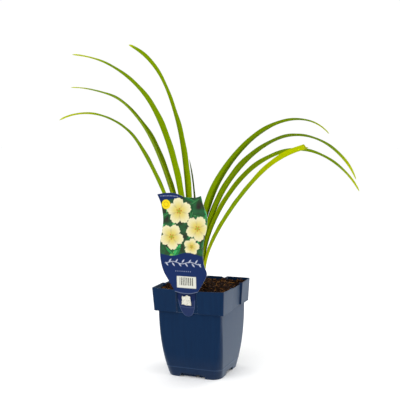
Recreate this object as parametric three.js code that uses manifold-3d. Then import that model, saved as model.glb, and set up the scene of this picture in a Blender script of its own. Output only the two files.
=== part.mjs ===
// A young daylily in its nursery pot: one fan of nine strap leaves on a short crown,
// a pot full of soil, and a plant tag hooked over the pot's wall.
// Millimetres, +Z up. Everything is built round the pot's own axis, with the pot's front facing -Y;
// the last lines put the origin under the middle of the whole plant.

import * as THREE from 'three';
import { mergeVertices } from 'three/addons/utils/BufferGeometryUtils.js';
import Module from 'manifold-3d';

const wasm = await Module();
wasm.setup();

// ---------------------------------------------------------------------------------------------
// Driving dimensions

const GAP = 0.3; // clearance between pieces that rest on or in each other
const BEYOND = 60; // further from the pot's axis than its wall, for bodies that cut or get cut by it

const POT = {
  height: 133,
  rimHalf: 55.8, // half width of the square rim
  bandBottom: 98.5, // lower edge of the wide band round the top
  bandFootHalf: 53.8,
  bandRadius: 1.2,
  bow: 0.8, // how far the rim bulges at the middle of a side
  sag: 1.2, // how far the rim dips at the middle of the front and of the right side
  bodyTop: 98,
  bodyTopHalf: 49.4,
  baseHalf: 41.2,
  barrel: 2.7, // power of the barrel curve down the body
  topRadius: 3,
  baseRadius: 15,
  rounding: 1.5, // power of the curve between the two corner radii
  insideRadius: 1.5, // least corner radius of the wall's inner face
  bandChamfer: 0.5,
  wall: 1.4,
};

// The middle of each side of the band is set back, to hold a tag. Its face leans outwards with the
// band, from foot to rim. The lip above it is cut down on the front and the right, and notched at both
// ends on the back.
const RECESS = {
  spans: [[-18, 14], [-18, 20.5], [-18, 18], [-18, 18]], // from and to on the front, right, back and left
  foot: 50.9,
  rim: 52.3,
};
const LIP = { frontDrop: 1.5, rightDrop: 4.4, notchFrom: 13, notchDrop: 1.3 };

// Between the four corner feet an arch is cut in the skirt; a thinner ring stands behind it.
const FOOT = {
  floorUnder: 5.6,
  floorTop: 7,
  archHalves: [19.3, 13.5, 19.3, 13.5], // front, right, back and left
  archTaper: 1,
  ringHalf: 36,
  ringRadius: 10,
  ringWall: 1.5,
  ringLift: 0.7,
  notchX: 6,
  notchHalf: [2.8, 1.5],
};
const DRAIN = { radius: 3.5, reach: 25, count: 8 };

const SOIL = {
  edgeHeight: 127.5,
  moundHeight: 8,
  moundRadius: 30,
  lumpHeight: 1.1,
  cells: 22,
};

const CROWN = { x: -7.3, top: 125.3, bottom: 114, long: 11.5, wide: 4.6, footShare: 0.8, sides: 16 };
const CROWN_HOLE = { long: 14.5, wide: 6.4, widening: 1.18 };

// The leaves stand in two nested ranks along the fan's own direction.
const FAN = { turn: 20, rootHeight: 126, rankGap: 2.6, nesting: 1.7 };
const BLADE = { thickness: 0.7, steps: 30, rollFrom: 0.1 };

// side: -1 arches to the left and +1 to the right; rank: place in its row, 0 innermost.
// leans: angle from the vertical at equal steps from root to tip; drift: sideways travel at the tip.
// fold: how steeply the two halves rise from the keel, at the root and the tip.
// roll: turn about the leaf's own axis, half way and at the tip. Degrees and millimetres.
// widths and sway: flat width, and waver in the fan's own plane, at every tenth of the way.
const LEAVES = [
  { name: 'leaf_left_1', side: -1, rank: 4, length: 355, leans: [14, 12, 22, 28, 64, 120],
    drift: -45, fold: [45, 32], roll: [-5, -5],
    widths: [8, 9, 11, 13, 15, 16, 15.5, 10.8, 8, 7.5, 4.8],
    sway: [0, 0, 0, 0, 0, 0.3, -0.4, 0.4, -0.5, -1.1, -1.4] },
  { name: 'leaf_left_2', side: -1, rank: 3, length: 384, leans: [10, 9, 17, 27, 58, 94],
    drift: 30, fold: [45, 26], roll: [13, 0],
    widths: [8, 10, 14, 17.5, 19, 19.2, 18.5, 12.4, 11.2, 7, 3.6],
    sway: [0, 0, -0.6, -1.1, -1.3, -1.1, -1.2, -1.3, 1, -0.8, 0.8] },
  { name: 'leaf_left_3', side: -1, rank: 2, length: 418, leans: [7, 6, 11, 23, 51, 84],
    drift: -15, fold: [45, 30], roll: [-12, -5],
    widths: [8, 10.5, 16, 21.2, 23.2, 23, 22.8, 18.6, 13.2, 7.3, 5],
    sway: [0, 0, 0, -0.2, -0.1, -0.4, -0.5, 0, 0, 0, -1.2] },
  { name: 'leaf_left_4', side: -1, rank: 1, length: 389, leans: [3, 2, 5, 12, 27, 60],
    drift: 40, fold: [45, 30], roll: [-8, -30],
    widths: [8, 10, 16.5, 23.5, 25, 23.5, 20, 13.6, 11.2, 12.6, 6.6],
    sway: [0, 0, -0.4, -0.8, -0.4, 0, 0, -0.8, -0.5, -0.5, -1.6] },
  { name: 'leaf_centre', side: -1, rank: 0, length: 190, leans: [0, 0, 11],
    drift: 5, fold: [45, 30], roll: [0, 0],
    widths: [5, 5.2, 5.9, 6.6, 7, 7.2, 7.2, 7, 6.4, 5, 1.4],
    sway: [0, 0, 0, 0, 0, 0, 0.3, 0.6, 0.8, 0.8, 0.8] },
  { name: 'leaf_right_1', side: 1, rank: 0, length: 374, leans: [-1, 6, 27, 45, 78, 139],
    drift: 55, fold: [45, 25], roll: [-88, -10],
    widths: [8, 9.8, 14.5, 15.4, 14.6, 12.2, 10.2, 9.5, 8.1, 5.5, 4.6],
    sway: [0, -1.2, -2.8, -2.2, -0.3, -0.1, -0.5, -0.3, -0.3, 0.3, 0.4] },
  { name: 'leaf_right_2', side: 1, rank: 1, length: 403, leans: [0, 14, 33, 59, 114, 158],
    drift: -20, fold: [45, 15], roll: [6, -8],
    widths: [8, 11.5, 18, 22.5, 23.2, 24.2, 17, 15.3, 11.6, 15.6, 6],
    sway: [0, 0.3, 0.5, -0.1, -0.3, -0.5, -1.3, 0, 0.1, -1, -2] },
  { name: 'leaf_right_3', side: 1, rank: 2, length: 391, leans: [1, 17, 38, 67, 118, 151],
    drift: 35, fold: [45, 18], roll: [-14, -6],
    widths: [8, 10, 14, 16.6, 17.1, 18.8, 15.8, 13, 11.2, 11.8, 7.6],
    sway: [0, 0.5, 0.5, -0.6, -1.2, -0.3, -0.6, -0.4, -0.3, 0.2, 0.3] },
  { name: 'leaf_right_4', side: 1, rank: 3, length: 270, leans: [2, 18, 33, 38, 53, 76],
    drift: -40, fold: [45, 35], roll: [-3, -28], yellowing: true,
    widths: [8, 9.5, 12.5, 15, 15.8, 16.6, 16.6, 16.2, 16.8, 17.4, 16.8],
    sway: [0, 0.3, 0.8, 0, -0.1, 0.3, -0.3, -0.6, -0.2, -0.2, -0.2] },
];

// The tag: a printed card in front of the band, and a hooked strap through the recess.
const TAG = {
  cardFront: 57.4,
  card: 0.8,
  hookTop: 132.8,
  spikeFront: 47.6,
  spikeHalf: 10,
  spikeBottom: 98,
};
// The card's wavy outline, seen from the front: up its right edge, over the top, down its left edge.
const TAG_RIGHT = [[16.6, 130.9], [24.9, 144], [31.3, 157.2], [27.8, 168.6], [25.9, 178.9], [26.4, 196],
  [28.7, 209.3], [31.9, 220.8], [33.2, 234], [32.2, 243.5], [27.4, 256.5], [24.6, 268.1]];
const TAG_TOP = [[24.6, 268.1], [15.3, 265.6], [-1, 266.3], [-13.3, 270.7], [-27.9, 271.4], [-42.6, 269.1]];
const TAG_LEFT = [[-42.6, 269.1], [-37.4, 257], [-35, 245], [-34.2, 231.7], [-36.4, 217], [-39.4, 203],
  [-40.6, 188], [-39.5, 173], [-35.5, 158.5], [-27.5, 145], [-18, 129.9]];
const TAG_SMILE = [[-18, 129.9], [-9.6, 128.2], [-1, 127.7], [7.6, 128.4], [16.6, 130.9]];
// The strap in the recess: down its left side, round its end and up its right side.
const TAG_STRAP = [[-16.6, 125.5], [-16.4, 118.5], [-15.3, 112.9], [-13.8, 107.4], [-11.8, 102.5],
  [-9, 97.9], [-5.3, 94.7], [-0.9, 93.3], [3.7, 95.1], [7.1, 98.5], [8.9, 104.2], [9.7, 109.3],
  [10.3, 114.9], [10.8, 119.9], [11.3, 126]];

// A torn paper price sticker, stuck askew on the strap.
const STICKER = { thickness: 0.5 };
const STICKER_OUTLINE = [[-10.2, 110.8], [-6.4, 110.7], [-2.4, 109.9], [4.9, 109.7], [4.1, 116.1],
  [3.4, 123], [-1.6, 124.4], [-6.4, 122.6], [-9.3, 123.7], [-9.3, 117.3]];

// ---------------------------------------------------------------------------------------------
// Small tools

const degrees = THREE.MathUtils.degToRad;
const mix = THREE.MathUtils.lerp;
const ease = (low, high, value) => THREE.MathUtils.smoothstep(value, low, high);

/** Turns a closed geometry into a solid that can be joined and cut. */
function toSolid(geometry) {
  const bare = geometry.clone();
  bare.deleteAttribute('normal');
  bare.deleteAttribute('uv');
  const merged = mergeVertices(bare, 1e-4);
  return new wasm.Manifold(new wasm.Mesh({
    numProp: 3,
    vertProperties: new Float32Array(merged.attributes.position.array),
    triVerts: new Uint32Array(merged.index.array),
  }));
}

/** Turns a solid back into a geometry. */
function toGeometry(solid) {
  const mesh = solid.getMesh();
  const geometry = new THREE.BufferGeometry();
  geometry.setAttribute('position', new THREE.BufferAttribute(new Float32Array(mesh.vertProperties), 3));
  geometry.setIndex(new THREE.BufferAttribute(new Uint32Array(mesh.triVerts), 1));
  geometry.computeVertexNormals();
  return geometry;
}

/** A geometry from points and triangles, with its faces turned outwards. */
function closedGeometry(points, triangles) {
  let volume = 0;
  for (const [a, b, c] of triangles) {
    volume += points[a].dot(new THREE.Vector3().crossVectors(points[b], points[c]));
  }
  const outward = volume > 0 ? triangles : triangles.map(([a, b, c]) => [a, c, b]);
  const geometry = new THREE.BufferGeometry().setFromPoints(points);
  geometry.setIndex(outward.flat());
  geometry.computeVertexNormals();
  return geometry;
}

/** A block between two corners. */
function block(x0, x1, y0, y1, z0, z1) {
  const geometry = new THREE.BoxGeometry(x1 - x0, y1 - y0, z1 - z0);
  geometry.translate((x0 + x1) / 2, (y0 + y1) / 2, (z0 + z1) / 2);
  return toSolid(geometry);
}

/** A flat plate: an outline in (x, z) given a thickness from y0 back to y1. */
function plate(outline, y0, y1) {
  const shape = new THREE.Shape(outline.map(([x, z]) => new THREE.Vector2(x, z)));
  const geometry = new THREE.ExtrudeGeometry(shape, { depth: y1 - y0, bevelEnabled: false });
  geometry.rotateX(Math.PI / 2);
  geometry.translate(0, y1, 0);
  return toSolid(geometry);
}

/** Joins rings of equal count, lowest first, into a closed body with flat ends. */
function loft(rings) {
  const count = rings[0].length;
  const points = rings.flat();
  const triangles = [];
  for (let level = 0; level + 1 < rings.length; level += 1) {
    for (let i = 0; i < count; i += 1) {
      const a = level * count + i;
      const b = level * count + ((i + 1) % count);
      triangles.push([a, b, b + count], [a, b + count, a + count]);
    }
  }
  for (const [level, turn] of [[0, -1], [rings.length - 1, 1]]) {
    const middle = points.length;
    points.push(new THREE.Vector3(0, 0, rings[level][0].z));
    for (let i = 0; i < count; i += 1) {
      const pair = [level * count + i, level * count + ((i + 1) % count)];
      triangles.push(turn > 0 ? [middle, ...pair] : [middle, ...pair.reverse()]);
    }
  }
  return toSolid(closedGeometry(points, triangles));
}

/** A body made for each side in turn: front, right, back and left. It is made facing the front. */
function onFourSides(makeBody) {
  const bodies = [0, 90, 180, 270].map((turn, side) => makeBody(side).rotate([0, 0, turn]));
  return bodies.reduce((all, body) => all.add(body));
}

// ---------------------------------------------------------------------------------------------
// Pot

const CORNER_POINTS = 6;
const SIDE_POINTS = 3;

/** A square ring with round corners at height z. Each side may bow outwards at its middle, and the
 *  front and right sides may sag there. The corners are numbered from the one before the back side. */
function squareRing(half, radius, z, bow = 0, sag = 0) {
  const ring = [];
  const flat = half - radius;
  for (let corner = 0; corner < 4; corner += 1) {
    const start = (corner * Math.PI) / 2;
    const turned = (x, y, drop = 0) => new THREE.Vector3(
      x * Math.cos(start) - y * Math.sin(start), x * Math.sin(start) + y * Math.cos(start), z - drop);
    const sideSag = corner >= 2 ? sag : 0;
    for (let i = 0; i < CORNER_POINTS; i += 1) {
      const angle = (i / (CORNER_POINTS - 1)) * (Math.PI / 2);
      ring.push(turned(flat + radius * Math.cos(angle), flat + radius * Math.sin(angle)));
    }
    for (let i = 1; i <= SIDE_POINTS; i += 1) {
      const along = 1 - (2 * i) / (SIDE_POINTS + 1);
      const middle = 1 - along * along;
      ring.push(turned(flat * along, half + bow * middle, sideSag * middle));
    }
  }
  return ring;
}

/** Half width of the body: a barrel curve, steep near the base and almost upright at the top. */
function bodyHalf(z) {
  const down = Math.max(0, 1 - z / POT.bodyTop);
  return POT.baseHalf + (POT.bodyTopHalf - POT.baseHalf) * (1 - down ** POT.barrel);
}

/** Corner radius of the body: tight below the band, wide at the base. */
function bodyRadius(z) {
  const down = Math.max(0, 1 - z / POT.bodyTop);
  return POT.topRadius + (POT.baseRadius - POT.topRadius) * down ** POT.rounding;
}

/** Half width of the band between its lower edge and the rim, and on past the rim. */
function bandHalf(z) {
  return mix(POT.bandFootHalf, POT.rimHalf, (z - POT.bandBottom) / (POT.height - POT.bandBottom));
}

const BODY_LEVELS = [0, 4, 9, 15, 22, 32, 45, 62, 80, 98];

/** Distance of the recess's leaning face from the pot's axis. */
function recessPlane(z) {
  return mix(RECESS.foot, RECESS.rim, (z - POT.bandBottom) / (POT.height - POT.bandBottom));
}

/** Leans a body that stands upright in the pot's middle plane against the front recess. */
function leantOnRecess(body) {
  return body.warp((point) => {
    point[1] -= recessPlane(point[2]);
  });
}

/** The middle of each side of the band, from its leaning face outwards, made larger by the margin. */
function recess(margin, bottom) {
  return onFourSides((side) => {
    const [from, to] = RECESS.spans[side];
    return leantOnRecess(block(from - margin, to + margin, -20, margin, bottom, POT.height + 10));
  });
}

/** The pot's outside as one full body. */
function potOutside() {
  const body = BODY_LEVELS.map((z) => squareRing(bodyHalf(z), bodyRadius(z), z));
  const band = [
    squareRing(POT.bandFootHalf - POT.bandChamfer, POT.bandRadius, POT.bodyTop),
    squareRing(POT.bandFootHalf, POT.bandRadius, POT.bandBottom),
    squareRing(POT.rimHalf, POT.bandRadius, POT.height, POT.bow, POT.sag),
  ];
  return loft([...body, ...band]).subtract(recess(0, POT.bodyTop));
}

/** The space inside the pot's wall, made smaller all round by the inset. */
function potInside(inset) {
  const shrink = POT.wall + inset;
  const ledge = POT.bandBottom + shrink;
  const cornerRadius = (radius) => Math.max(POT.insideRadius, radius - shrink);
  const ring = (half, radius, z, bow) => squareRing(half - shrink, cornerRadius(radius), z, bow);
  const floor = FOOT.floorTop + inset;
  const levels = [floor, ...BODY_LEVELS.filter((z) => z > floor + 1)];
  const above = POT.height + 5;
  const body = levels.map((z) => ring(bodyHalf(z), bodyRadius(z), z));
  const band = [
    ring(POT.bodyTopHalf, POT.topRadius, ledge),
    ring(bandHalf(ledge), POT.bandRadius, ledge),
    ring(POT.rimHalf, POT.bandRadius, POT.height, POT.bow),
    ring(bandHalf(above), POT.bandRadius, above, POT.bow),
  ];
  return loft([...body, ...band]).subtract(recess(shrink, POT.bodyTop - 1));
}

/** Everything cut from the base: the space under the floor, the arches, the notches, the drain holes. */
function potUnderside() {
  const { floorUnder, archHalves, archTaper, ringHalf, ringRadius, ringWall, ringLift } = FOOT;
  const { notchX, notchHalf } = FOOT;
  const inner = ringHalf - ringWall;
  let cut = loft([squareRing(inner, ringRadius, -1), squareRing(inner, ringRadius, floorUnder)]);
  cut = cut.add(onFourSides((side) => {
    const low = archHalves[side];
    const high = low - archTaper;
    const arch = plate([[-low, -1], [low, -1], [high, floorUnder], [-high, floorUnder]], -BEYOND,
      -ringHalf);
    return arch.add(block(-high, high, -ringHalf - 1, -inner + 1, -1, ringLift));
  }));
  const notch = [[notchX - notchHalf[0], -1], [notchX + notchHalf[0], -1],
    [notchX + notchHalf[1], floorUnder], [notchX - notchHalf[1], floorUnder]];
  cut = cut.add(onFourSides(() => plate(notch, -ringHalf - 1, -inner + 1)));
  for (let i = 0; i < DRAIN.count; i += 1) {
    const angle = ((i + 0.5) / DRAIN.count) * 2 * Math.PI;
    const hole = new THREE.CylinderGeometry(DRAIN.radius, DRAIN.radius, 6, 12);
    hole.rotateX(Math.PI / 2);
    hole.translate(DRAIN.reach * Math.cos(angle), DRAIN.reach * Math.sin(angle), FOOT.floorTop - 1);
    cut = cut.add(toSolid(hole));
  }
  return cut;
}

/** What is cut from the lips above the recesses; the lip on the left is whole. */
function lipCuts() {
  const { frontDrop, rightDrop, notchFrom, notchDrop } = LIP;
  const [front, right, back] = RECESS.spans;
  const inner = -(RECESS.rim - POT.wall - 1);
  const cut = ([from, to], drop) => block(from, to, -BEYOND, inner, POT.height - drop, POT.height + 10);
  const notches = cut([back[0], -notchFrom], notchDrop).add(cut([notchFrom, back[1]], notchDrop));
  return cut(front, frontDrop)
    .add(cut(right, rightDrop).rotate([0, 0, 90]))
    .add(notches.rotate([0, 0, 180]));
}

function makePot() {
  return potOutside().subtract(potInside(0)).subtract(potUnderside()).subtract(lipCuts());
}

// ---------------------------------------------------------------------------------------------
// Soil and crown

/** Height of the soil: a low mound at the crown, with lumps from four crossed waves. */
function soilHeight(x, y) {
  const reach = Math.hypot(x - CROWN.x, y) / SOIL.moundRadius;
  const lumps = Math.sin(x / 5.3 + y / 9.1) + Math.sin(y / 4.7 - x / 11.3)
    + 0.7 * Math.sin(x / 3.1 - y / 3.9) + 0.5 * Math.sin(x / 8.3 + y / 2.7);
  return SOIL.edgeHeight + SOIL.moundHeight * Math.exp(-reach * reach) + (SOIL.lumpHeight * lumps) / 2;
}

/** A block of soil, wider than the pot, with the uneven surface on top. */
function soilBlock() {
  const side = SOIL.cells + 1;
  const points = [];
  const triangles = [];
  for (const low of [false, true]) {
    for (let row = 0; row < side; row += 1) {
      for (let column = 0; column < side; column += 1) {
        const x = mix(-BEYOND, BEYOND, column / SOIL.cells);
        const y = mix(-BEYOND, BEYOND, row / SOIL.cells);
        points.push(new THREE.Vector3(x, y, low ? 0 : soilHeight(x, y)));
      }
    }
  }
  const layer = side * side;
  const quad = (a, b, c, d) => triangles.push([a, b, c], [a, c, d]);
  for (let row = 0; row < SOIL.cells; row += 1) {
    for (let column = 0; column < SOIL.cells; column += 1) {
      const a = row * side + column;
      quad(a, a + 1, a + side + 1, a + side);
      quad(layer + a, layer + a + side, layer + a + side + 1, layer + a + 1);
    }
  }
  for (let i = 0; i < SOIL.cells; i += 1) {
    const near = i;
    const far = SOIL.cells * side + i;
    const left = i * side;
    const right = i * side + SOIL.cells;
    quad(near, layer + near, layer + near + 1, near + 1);
    quad(far, far + 1, layer + far + 1, layer + far);
    quad(left, left + side, layer + left + side, layer + left);
    quad(right, layer + right, layer + right + side, right + side);
  }
  return toSolid(closedGeometry(points, triangles));
}

/** An upright oval body at the crown, its long way along the fan, from one size to another. */
function crownOval(z0, z1, size0, size1) {
  const rings = [[z0, size0], [z1, size1]].map(([z, [long, wide]]) => (
    Array.from({ length: CROWN.sides }, (_, i) => {
      const angle = (i / CROWN.sides) * 2 * Math.PI;
      return new THREE.Vector3(long * Math.cos(angle), wide * Math.sin(angle), z);
    })));
  return loft(rings).rotate([0, 0, FAN.turn]).translate([CROWN.x, 0, 0]);
}

function makeSoil() {
  const { long, wide, widening } = CROWN_HOLE;
  const top = FAN.rootHeight + 20;
  const hole = crownOval(CROWN.bottom - GAP, top, [long, wide], [long * widening, wide * widening]);
  const slotBack = -TAG.spikeFront + TAG.card + GAP;
  const slotHalf = TAG.spikeHalf + GAP;
  const slot = block(-slotHalf, slotHalf, -BEYOND, slotBack, TAG.spikeBottom - GAP, top);
  return soilBlock().intersect(potInside(GAP)).subtract(hole).subtract(slot);
}

/** The crown: the short oval stem that all the leaves grow from. */
function makeCrown() {
  const { long, wide, footShare } = CROWN;
  return crownOval(CROWN.bottom, CROWN.top, [long * footShare, wide * footShare], [long, wide]);
}

// ---------------------------------------------------------------------------------------------
// Leaves

const fanAlong = new THREE.Vector3(Math.cos(degrees(FAN.turn)), Math.sin(degrees(FAN.turn)), 0);
const fanAcross = new THREE.Vector3(-Math.sin(degrees(FAN.turn)), Math.cos(degrees(FAN.turn)), 0);
const up = new THREE.Vector3(0, 0, 1);

/** A smooth curve through equally spaced values (Catmull-Rom), at a share 0..1 of the way. */
function through(values, share) {
  const last = values.length - 1;
  const padded = [2 * values[0] - values[1], ...values, 2 * values[last] - values[last - 1]];
  const step = Math.min(Math.floor(share * last), last - 1);
  const t = share * last - step;
  const [a, b, c, d] = padded.slice(step, step + 4);
  const bend = 2 * a - 5 * b + 4 * c - d;
  const twist = 3 * b - a - 3 * c + d;
  return 0.5 * (2 * b + (c - a) * t + bend * t ** 2 + twist * t ** 3);
}

/** Points and directions down the middle of a leaf, from root to tip. */
function spine(leaf) {
  const finer = 3;
  const count = BLADE.steps * finer;
  const piece = leaf.length / count;
  const offset = leaf.side * (FAN.rankGap + leaf.rank * FAN.nesting);
  let outward = 0;
  let height = 0;
  const stations = [];
  for (let i = 0; i <= count; i += 1) {
    const share = i / count;
    if (i % finer === 0) {
      const lean = degrees(through(leaf.leans, share));
      const point = new THREE.Vector3(CROWN.x, 0, FAN.rootHeight + height)
        .addScaledVector(fanAlong, offset + leaf.side * outward)
        .addScaledVector(fanAcross, leaf.drift * share ** 3);
      const forward = new THREE.Vector3()
        .addScaledVector(fanAlong, leaf.side * Math.sin(lean))
        .addScaledVector(up, Math.cos(lean))
        .addScaledVector(fanAcross, (3 * leaf.drift * share ** 2) / leaf.length)
        .normalize();
      const across = fanAcross.clone().addScaledVector(forward, -fanAcross.dot(forward)).normalize();
      const inward = new THREE.Vector3().crossVectors(across, forward).multiplyScalar(leaf.side);
      inward.negate();
      point.addScaledVector(inward, through(leaf.sway, share));
      stations.push({ share, point, across, inward });
    }
    const lean = degrees(through(leaf.leans, (i + 0.5) / count));
    outward += Math.sin(lean) * piece;
    height += Math.cos(lean) * piece;
  }
  return stations;
}

/** Turn about the leaf's own axis: none at the root, then to its half-way value and its tip value. */
function rollAt(leaf, share) {
  const [middle, tip] = leaf.roll;
  return mix(middle * ease(BLADE.rollFrom, 0.4, share), tip, ease(0.5, 1, share));
}

const SECTION = [-1, -0.5, 0, 0.5, 1];
const KEEL_ROUNDING = 0.12;

/** Rise of the section, 0 at the keel and 1 at the margin, with a small round at the keel. */
const fullRise = Math.hypot(1, KEEL_ROUNDING) - KEEL_ROUNDING;
const riseAt = (a) => (Math.hypot(a, KEEL_ROUNDING) - KEEL_ROUNDING) / fullRise;
const slopeAt = (a) => a / Math.hypot(a, KEEL_ROUNDING) / fullRise;

/** One strap leaf: a V-folded section carried along the spine, as a closed skin of even thickness. */
function bladeGeometry(leaf) {
  const points = [];
  const width = SECTION.length;
  for (const { share, point, across, inward } of spine(leaf)) {
    const half = through(leaf.widths, share) / 2;
    const fold = degrees(mix(leaf.fold[0], leaf.fold[1], share ** 1.5));
    const roll = degrees(rollAt(leaf, share));
    const face = inward.clone().multiplyScalar(Math.cos(roll)).addScaledVector(across, -Math.sin(roll));
    const spread = across.clone().multiplyScalar(Math.cos(roll)).addScaledVector(inward, Math.sin(roll));
    for (const skin of [-0.5, 0.5]) {
      for (const a of SECTION) {
        const slope = Math.atan2(Math.sin(fold) * slopeAt(a), Math.cos(fold));
        const off = skin * BLADE.thickness;
        points.push(point.clone()
          .addScaledVector(spread, half * Math.cos(fold) * a - off * Math.sin(slope))
          .addScaledVector(face, half * Math.sin(fold) * (riseAt(a) - 0.5) + off * Math.cos(slope)));
      }
    }
  }
  const at = (station, skin, i) => station * 2 * width + skin * width + i;
  const triangles = [];
  const quad = (a, b, c, d) => triangles.push([a, b, c], [a, c, d]);
  for (let s = 0; s < BLADE.steps; s += 1) {
    for (let i = 0; i + 1 < width; i += 1) {
      quad(at(s, 0, i), at(s, 0, i + 1), at(s + 1, 0, i + 1), at(s + 1, 0, i));
      triangles.push([at(s, 1, i), at(s + 1, 1, i + 1), at(s, 1, i + 1)]);
      triangles.push([at(s, 1, i), at(s + 1, 1, i), at(s + 1, 1, i + 1)]);
    }
    const last = width - 1;
    quad(at(s, 0, 0), at(s + 1, 0, 0), at(s + 1, 1, 0), at(s, 1, 0));
    quad(at(s, 0, last), at(s, 1, last), at(s + 1, 1, last), at(s + 1, 0, last));
  }
  for (let i = 0; i + 1 < width; i += 1) {
    const end = BLADE.steps;
    quad(at(0, 0, i), at(0, 1, i), at(0, 1, i + 1), at(0, 0, i + 1));
    quad(at(end, 0, i), at(end, 0, i + 1), at(end, 1, i + 1), at(end, 1, i));
  }
  return closedGeometry(points, triangles);
}

// ---------------------------------------------------------------------------------------------
// Tag and sticker

/** Outline of the card: its four edges as smooth curves through their points. */
function cardOutline() {
  const edges = [[TAG_RIGHT, 22], [TAG_TOP, 10], [TAG_LEFT, 22], [TAG_SMILE, 8]];
  return edges.flatMap(([edge, pieces]) => {
    const curve = new THREE.SplineCurve(edge.map(([x, z]) => new THREE.Vector2(x, z)));
    return curve.getPoints(pieces).slice(0, -1).map(({ x, y }) => [x, y]);
  });
}

/** Outline of the strap in the recess: straight sides drawn in to a round end. */
function strapOutline() {
  const curve = new THREE.SplineCurve(TAG_STRAP.map(([x, z]) => new THREE.Vector2(x, z)));
  const sides = curve.getPoints(24).map(({ x, y }) => [x, y]);
  return [[TAG_STRAP[0][0], TAG.hookTop], ...sides, [TAG_STRAP.at(-1)[0], TAG.hookTop]];
}

function makeTag() {
  const { cardFront, card, hookTop, spikeFront, spikeHalf, spikeBottom } = TAG;
  const printed = plate(cardOutline(), -cardFront, -cardFront + card);
  const strap = leantOnRecess(plate(strapOutline(), -GAP - card, -GAP));
  const bridgeFront = -cardFront + card / 2;
  const bridge = block(-spikeHalf, spikeHalf, bridgeFront, -spikeFront + card, hookTop - card, hookTop);
  const spike = block(-spikeHalf, spikeHalf, -spikeFront, -spikeFront + card, spikeBottom, hookTop);
  return printed.add(strap).add(bridge).add(spike);
}

function makeSticker() {
  const back = -GAP - TAG.card - GAP;
  return leantOnRecess(plate(STICKER_OUTLINE, back - STICKER.thickness, back));
}

// ---------------------------------------------------------------------------------------------
// The plant

const plastic = new THREE.MeshStandardMaterial({ color: '#17365a', roughness: 0.45, metalness: 0 });
const earth = new THREE.MeshStandardMaterial({ color: '#2e2118', roughness: 1, metalness: 0 });
const pale = new THREE.MeshStandardMaterial({ color: '#c9cf86', roughness: 0.6, metalness: 0 });
const green = new THREE.MeshStandardMaterial({ color: '#74950a', roughness: 0.5, metalness: 0 });
const yellowing = new THREE.MeshStandardMaterial({ color: '#a9b90a', roughness: 0.5, metalness: 0 });
const print = new THREE.MeshStandardMaterial({ color: '#1f2f66', roughness: 0.35, metalness: 0 });
const paper = new THREE.MeshStandardMaterial({ color: '#e9e7df', roughness: 0.8, metalness: 0 });

const plant = new THREE.Group();

function place(name, geometry, material) {
  const mesh = new THREE.Mesh(geometry, material.clone());
  mesh.name = name;
  plant.add(mesh);
}

place('pot', toGeometry(makePot()), plastic);
place('soil', toGeometry(makeSoil()), earth);
place('crown', toGeometry(makeCrown()), pale);
for (const leaf of LEAVES) place(leaf.name, bladeGeometry(leaf), leaf.yellowing ? yellowing : green);
place('label', toGeometry(makeTag()), print);
place('price_sticker', toGeometry(makeSticker()), paper);

const reach = new THREE.Box3().setFromObject(plant);
plant.position.set(-(reach.min.x + reach.max.x) / 2, -(reach.min.y + reach.max.y) / 2, 0);
plant.updateMatrixWorld(true);

export default plant;
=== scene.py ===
# %% [markdown]
# # A young daylily in its square nursery pot
# The plant is one flat fan of strap leaves on a short crown. It stands in a navy blue plastic pot that
# is filled with potting soil, and a die-cut picture tag hangs over the pot's front wall.
# The bare solids come ready made, in metres, and stay where they are. Each cell below covers one of
# them with the surface and the finish of the real thing. Most pieces are one formula, worked out with
# numpy for a whole grid of points at once.

# %% Load the solids
import math

import bpy
import numpy as np
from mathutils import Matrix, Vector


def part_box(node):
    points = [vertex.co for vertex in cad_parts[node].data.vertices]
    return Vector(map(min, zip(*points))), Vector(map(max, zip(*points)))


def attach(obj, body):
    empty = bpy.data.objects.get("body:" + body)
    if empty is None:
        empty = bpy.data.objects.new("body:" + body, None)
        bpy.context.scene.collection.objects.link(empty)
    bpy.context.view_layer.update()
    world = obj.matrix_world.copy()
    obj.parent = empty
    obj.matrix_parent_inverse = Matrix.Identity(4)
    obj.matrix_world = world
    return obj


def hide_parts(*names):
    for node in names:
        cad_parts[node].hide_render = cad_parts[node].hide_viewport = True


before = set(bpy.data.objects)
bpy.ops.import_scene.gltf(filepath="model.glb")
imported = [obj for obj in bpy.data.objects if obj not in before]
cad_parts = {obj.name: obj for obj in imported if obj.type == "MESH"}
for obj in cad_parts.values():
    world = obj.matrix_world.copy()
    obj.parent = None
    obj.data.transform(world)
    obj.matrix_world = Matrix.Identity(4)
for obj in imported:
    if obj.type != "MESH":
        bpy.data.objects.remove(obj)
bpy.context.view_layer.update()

pot_low, pot_high = (np.array(corner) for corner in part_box("pot"))
POT_AXIS = np.array([*(pot_low + pot_high)[:2] / 2, 0.0])
print("pot axis, mm:", np.round(POT_AXIS * 1000, 2))

# %% [markdown]
# ## Measures and small tools
# A plant is easiest to describe from the middle of its pot, and in millimetres. So every shape is
# worked out round the pot's axis, with the pot's front facing -Y, and one function carries its points
# into the frame. The other tools turn a grid of points into a mesh, and a hex colour into the linear
# colour that the renderer wants.

# %% Points, grids and meshes
MM = 0.001


def placed(points):
    """Millimetres round the pot's axis to metres in the frame: point / 1000 + axis."""
    return np.asarray(points, float) * MM + POT_AXIS


def smooth(low, high, value):
    """An S-shaped step: 0 below low, 1 above high, and t * t * (3 - 2 t) between, t the way across."""
    t = np.clip((value - low) / (high - low), 0, 1)
    return t * t * (3 - 2 * t)


def mix(a, b, t):
    """The value a share t of the way from a to b: a + (b - a) t."""
    return a + (b - a) * t


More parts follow.
